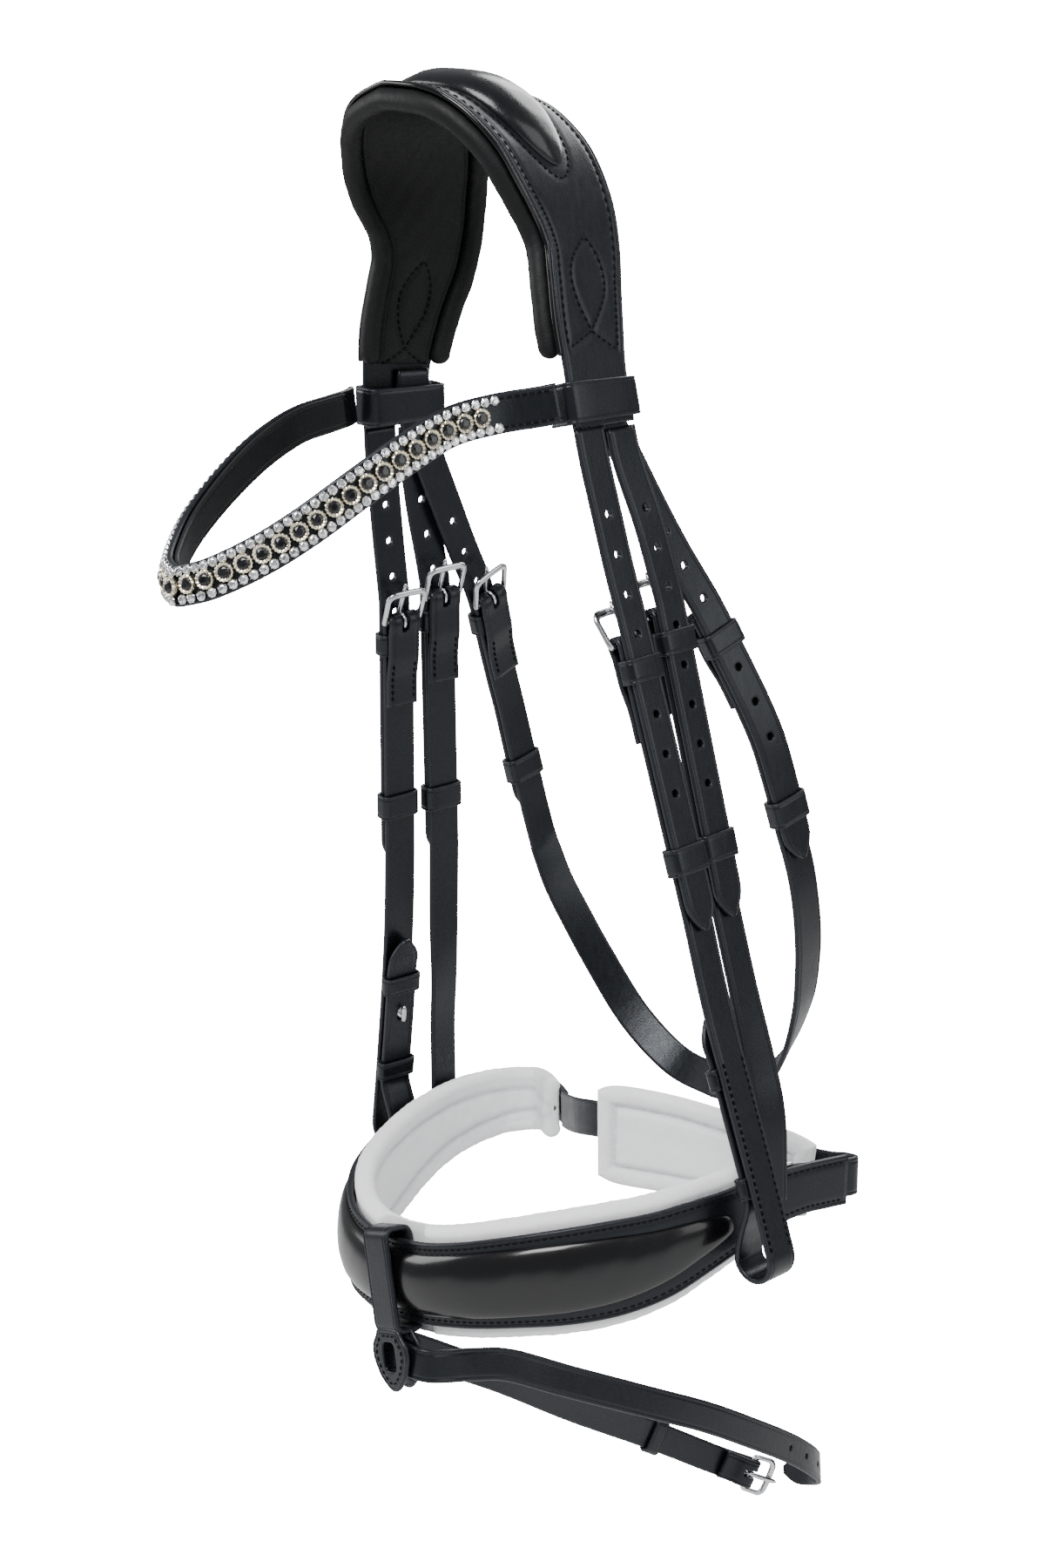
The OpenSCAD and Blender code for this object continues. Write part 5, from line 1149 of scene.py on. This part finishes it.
def bordered(way, n=110, m=72):
    """A pillow with a rolled border: half thickness sqrt(1 - (1 - e)2) over the border, where e is the
    distance to the edge over its width, pressed in by 2.2 exp(-((e - border) / 1.5)2) at the seam, then
    crowned again in the middle."""
    u, v = (np.sin(np.linspace(-1, 1, k) * np.pi / 2) for k in (n, m))
    u, v = np.meshgrid(u, v, indexing="ij")
    s = (u + 1) / 2 * way.long
    corner = np.maximum(1 - 0.10 * np.abs(u) ** 10, 0)
    half = way.wide(s) / 2 * corner
    x = half * v
    e = np.minimum(np.minimum(s, way.long - s), half - np.abs(x))
    lip = np.sqrt(np.maximum(1 - (1 - np.minimum(e / 4.6, 1)) ** 2, 0))
    seam = 2.4 * np.exp(-((e - border) / 1.5) ** 2)
    inner = 0.5 * np.clip((e - border) / 6, 0, 1)
    pucker = np.sin(1.05 * s + 2 * ripple(s, x, 15.0)) * np.exp(-np.abs(e - border) / 4)
    fold = 0.25 * ripple(s, x, 7.0) + 0.18 * pucker
    up = chin_t / 2 * lip - seam * np.minimum(1, lip) + (inner + fold) * lip
    points = np.concatenate([way.lay(s, -x, up), way.lay(s, x, -up * 0.94)], 1).reshape(-1, 3)
    quads = np.vstack([net(n, 2 * m), ends(n, 2 * m)])
    # Painted shade: the colour darkens along the pressed seam.
    painted_hollow_shade = np.exp(-((e - border) / 2.0) ** 2)
    return points, outward(points, quads), np.concatenate([painted_hollow_shade, painted_hollow_shade], 1).ravel()


chin_pad = fit("chin pad", [bordered(chin)], white_hide, "headpiece", "chin_pad", slot="white_padding")
side_u = np.linspace(border, chin.long - border, 60)
rim = chin.wide(side_u) / 2 - border
seam = [stitches(way, side_u, d * rim, chin_t / 2 - 2.5, 3.4)
        for way in (chin, Way(np.hstack([chin.p, -chin.o]))) for d in (-1, 1)]
seam += [stitches(way, np.full(9, s), np.linspace(-r, r, 9), chin_t / 2 - 2.5, 3.4)
         for way in (chin, Way(np.hstack([chin.p, -chin.o])))
         for s, r in ((border, rim[0]), (chin.long - border, rim[-1]))]
fit("chin pad stitching", seam, white_thread, "headpiece")

# ---------------------------------------------------------------- flash carrier
# A leather loop round the noseband that ends below in a pointed lozenge; the flash strap passes through
# the lozenge, between its two leaves, and shows in its window.
carrier_w, carrier_t, carrier_front, carrier_back = 16.0, 2.4, -40.8, -30.6
window_h, strap_back, lozenge_z = 41.0, -36.2, -519.0
lean_c, lean_s = np.cos(np.radians(-12.0)), np.sin(np.radians(-12.0))


def leaned(points):
    """Turned by -12 degrees about the fore-and-aft line through the middle of the noseband."""
    points = np.asarray(points, float)
    x, z = points[..., 0], points[..., 2] + 487
    return np.stack([x * lean_c + z * lean_s, points[..., 1], z * lean_c - x * lean_s - 487], -1)


round_nose = Way(np.hstack([leaned(np.c_[np.linspace(-12, 12, 25),
                                         np.full(25, (carrier_front + carrier_back) / 2),
                                         np.full(25, -487.0)]), np.tile([0, -1, 0], (25, 1))]))
loop_half = (carrier_back - carrier_front) / 2
carrier_shells = [band(round_nose, round_nose.long / 2, -window_h / 2, window_h / 2, -loop_half, loop_half,
                       carrier_w, carrier_t, 2.6, 0.35)]


def rounded(outline, n, passes):
    """n even points round an outline, its corners rounded by averaging each point with its neighbours."""
    corner = np.vstack([outline, outline[:1]]).astype(float)
    d = np.r_[0, np.cumsum(np.linalg.norm(np.diff(corner, axis=0), axis=1))]
    at = np.linspace(0, d[-1], n, endpoint=False)
    rim = np.stack([np.interp(at, d, corner[:, k]) for k in (0, 1)], -1)
    for each in range(passes):
        rim = (np.roll(rim, 1, 0) + rim * 2 + np.roll(rim, -1, 0)) / 4
    return rim


def leaf(y, outline, hole=None, n=96):
    """A flat leaf with a round-edged outline, and a window if hole gives its half width and height: rings
    run in from the outline, over the front and round the window's edge, back along the rear."""
    rim = rounded(outline, n, 6)
    middle = np.array([0.0, lozenge_z])
    out = unit(rim - middle)
    ang = np.arctan2(out[:, 1], out[:, 0])
    if hole:
        r = 1 / (np.abs(np.cos(ang) / hole[0]) ** 4 + np.abs(np.sin(ang) / hole[1]) ** 4) ** 0.25
        inner = middle + r[:, None] * out
    else:
        inner = middle + 0.3 * out
    t = carrier_t
    levels = [(0, 0.5), (0.35, 0.16), (1.0, 0.0), (1.7, 0.0), (2.1, 0.28), (2.5, 0.0), (3.2, 0.0)]
    front = [(rim - out * q, f * t if q < 1 else f) for q, f in levels]
    front += [(rim + (inner - rim) * q - out * 3.2 * (1 - q), 0.0)
              for q in (0.35, 0.7)] + [(inner + out * 0.5, 0.0), (inner + out * 0.12, 0.2), (inner, 0.7)]
    rings = [np.c_[p[:, 0], np.full(n, y - t + f), p[:, 1]] for p, f in front]
    rings += [np.c_[inner[:, 0], np.full(n, y - 0.5), inner[:, 1]],
              np.c_[(inner + out * 0.5)[:, 0], np.full(n, y), (inner + out * 0.5)[:, 1]],
              np.c_[(rim - out)[:, 0], np.full(n, y), (rim - out)[:, 1]],
              np.c_[(rim - out * 0.3)[:, 0], np.full(n, y - 0.3), (rim - out * 0.3)[:, 1]]]
    points = leaned(np.stack(rings)).reshape(-1, 3)
    quads = net(len(rings), n, loop=True)
    edge = np.zeros(len(rings))
    edge[[0, 1, 2, 4]] = 1, 0.9, 0.4, 0.3
    return points, outward(points, quads), np.repeat(edge, n)


def stitch_round(y, outline, inset, n=120):
    """A row of stitches round a leaf at depth y, inset from its outline."""
    rim = rounded(outline, n, 8)
    rim = rim - unit(rim - [0, lozenge_z]) * inset
    line = Way(np.hstack([leaned(np.c_[rim[:, 0], np.full(n, y), rim[:, 1]]), np.tile([0, -1, 0], (n, 1))]))
    return stitches(line, np.r_[0, line.long], np.zeros(2), 0.0)


lozenge = np.array([(-8, -507), (-8.4, -510), (-12, -513.5), (-12.5, -520), (-9, -528), (-3, -533.6),
                    (0, -534.4), (3, -533.6), (9, -528), (12.5, -520), (12, -513.5), (8.4, -510), (8, -507),
                    (0, -506.4)])
carrier_shells += [leaf(carrier_front, lozenge, (4.2, 6.2)), leaf(strap_back + carrier_t, lozenge)]
fit("flash carrier", carrier_shells, bridle_hide, "flash_carrier", "flash_carrier", slot="bridle_leather")
fit("flash carrier stitching", [stitch_round(carrier_front - carrier_t + 0.05, lozenge, 3.6)], thread,
    "flash_carrier")

# ---------------------------------------------------------------- flash strap
# A narrow strap through the carrier, round the muzzle and back; its buckle hangs at the end on the far
# side.
flash_w, flash_t = 14.0, 2.4
flash_near = [(-6.5, -38.1, -519.5, -0.15, -1, 0.1), (0, -38.5, -519.3, 0, -1, 0.1),
              (13, -38.5, -518.6, 0, -1, 0.1), (20, -38.1, -518.6, 0.15, -1, 0.1),
              (24.5, -34.5, -519.2, 0.75, -0.65, 0.15), (26.5, -26, -520.5, 0.97, -0.2, 0.2),
              (26, -12, -523.5, 0.97, -0.1, 0.25), (27.5, 6, -528, 0.97, -0.1, 0.22),
              (35, 33, -540, 0.98, -0.1, 0.2), (42, 75, -558.5, 1, 0, 0.15), (44, 108, -573.5, 1, 0, 0.12),
              (43, 138, -589.5, 0.99, 0.08, 0.1), (39, 168, -606.5, 0.97, 0.2, 0.1),
              (34, 189, -620.5, 0.9, 0.45, 0.05), (25, 203, -631.5, 0.6, 0.8, 0), (13, 208, -638, 0.1, 1, 0),
              (2, 203, -639.5, -0.5, 0.87, 0)]
flash_far = [(-11, -34.5, -520.4, -0.75, -0.65, 0.1), (-13, -27, -522, -0.97, -0.2, 0.1),
             (-12, -15, -527, -0.97, 0.1, 0.2), (-9.5, 4, -537, -0.97, 0.1, 0.2),
             (-10, 35, -553.5, -0.98, 0.1, 0.15), (-14, 80, -580, -0.99, 0.05, 0.1),
             (-16, 124, -604, -1, 0, 0.08), (-15, 148, -617.5, -0.99, 0.05, 0.05),
             (-12, 170, -630, -0.98, 0.15, 0), (-7.5, 186, -638, -0.93, 0.36, 0)]
flash_front, flash_rear = curve(flash_near, 6), curve(np.vstack([flash_near[:1], flash_far]), 6)
rear_rows, rear = turned_end(flash_rear)
flash = Way(np.vstack([rear_rows[::-1], flash_front[1:]]))
holes = [(flash.long - 8 - k * hole_pitch, 1.35, 0) for k in range(4, 0, -1)]
fold_mid = nearest(flash, rear.p[-1] - rear.o[-1] * fold_r + rear.t[-1] * fold_r)
made = strap(flash, flash_w, flash_t, 0, flash.long, tips=(0, 10), holes=[(fold_mid, *tongue_slot)] + holes,
             step=1.6)
fit("flash strap", [made], bridle_hide, "flash_strap", "flash_strap", slot="bridle_leather")
buckle_set("flash buckle", rear, rear.long, "flash_frame", "flash_tongue", flash_w + 2 * gap, 12.0, 180.0,
           fold_r)
w = flash_w / 2 + loop_gap
runner = band(rear, rear.long - 62, -w, w, -flash_t / 2 - loop_gap, flash_t / 2 + loop_gap, keeper_l - 1,
              keeper_t)
fit("flash runner", [runner], bridle_hide, "flash_runner", "flash_runner", slot="bridle_leather")
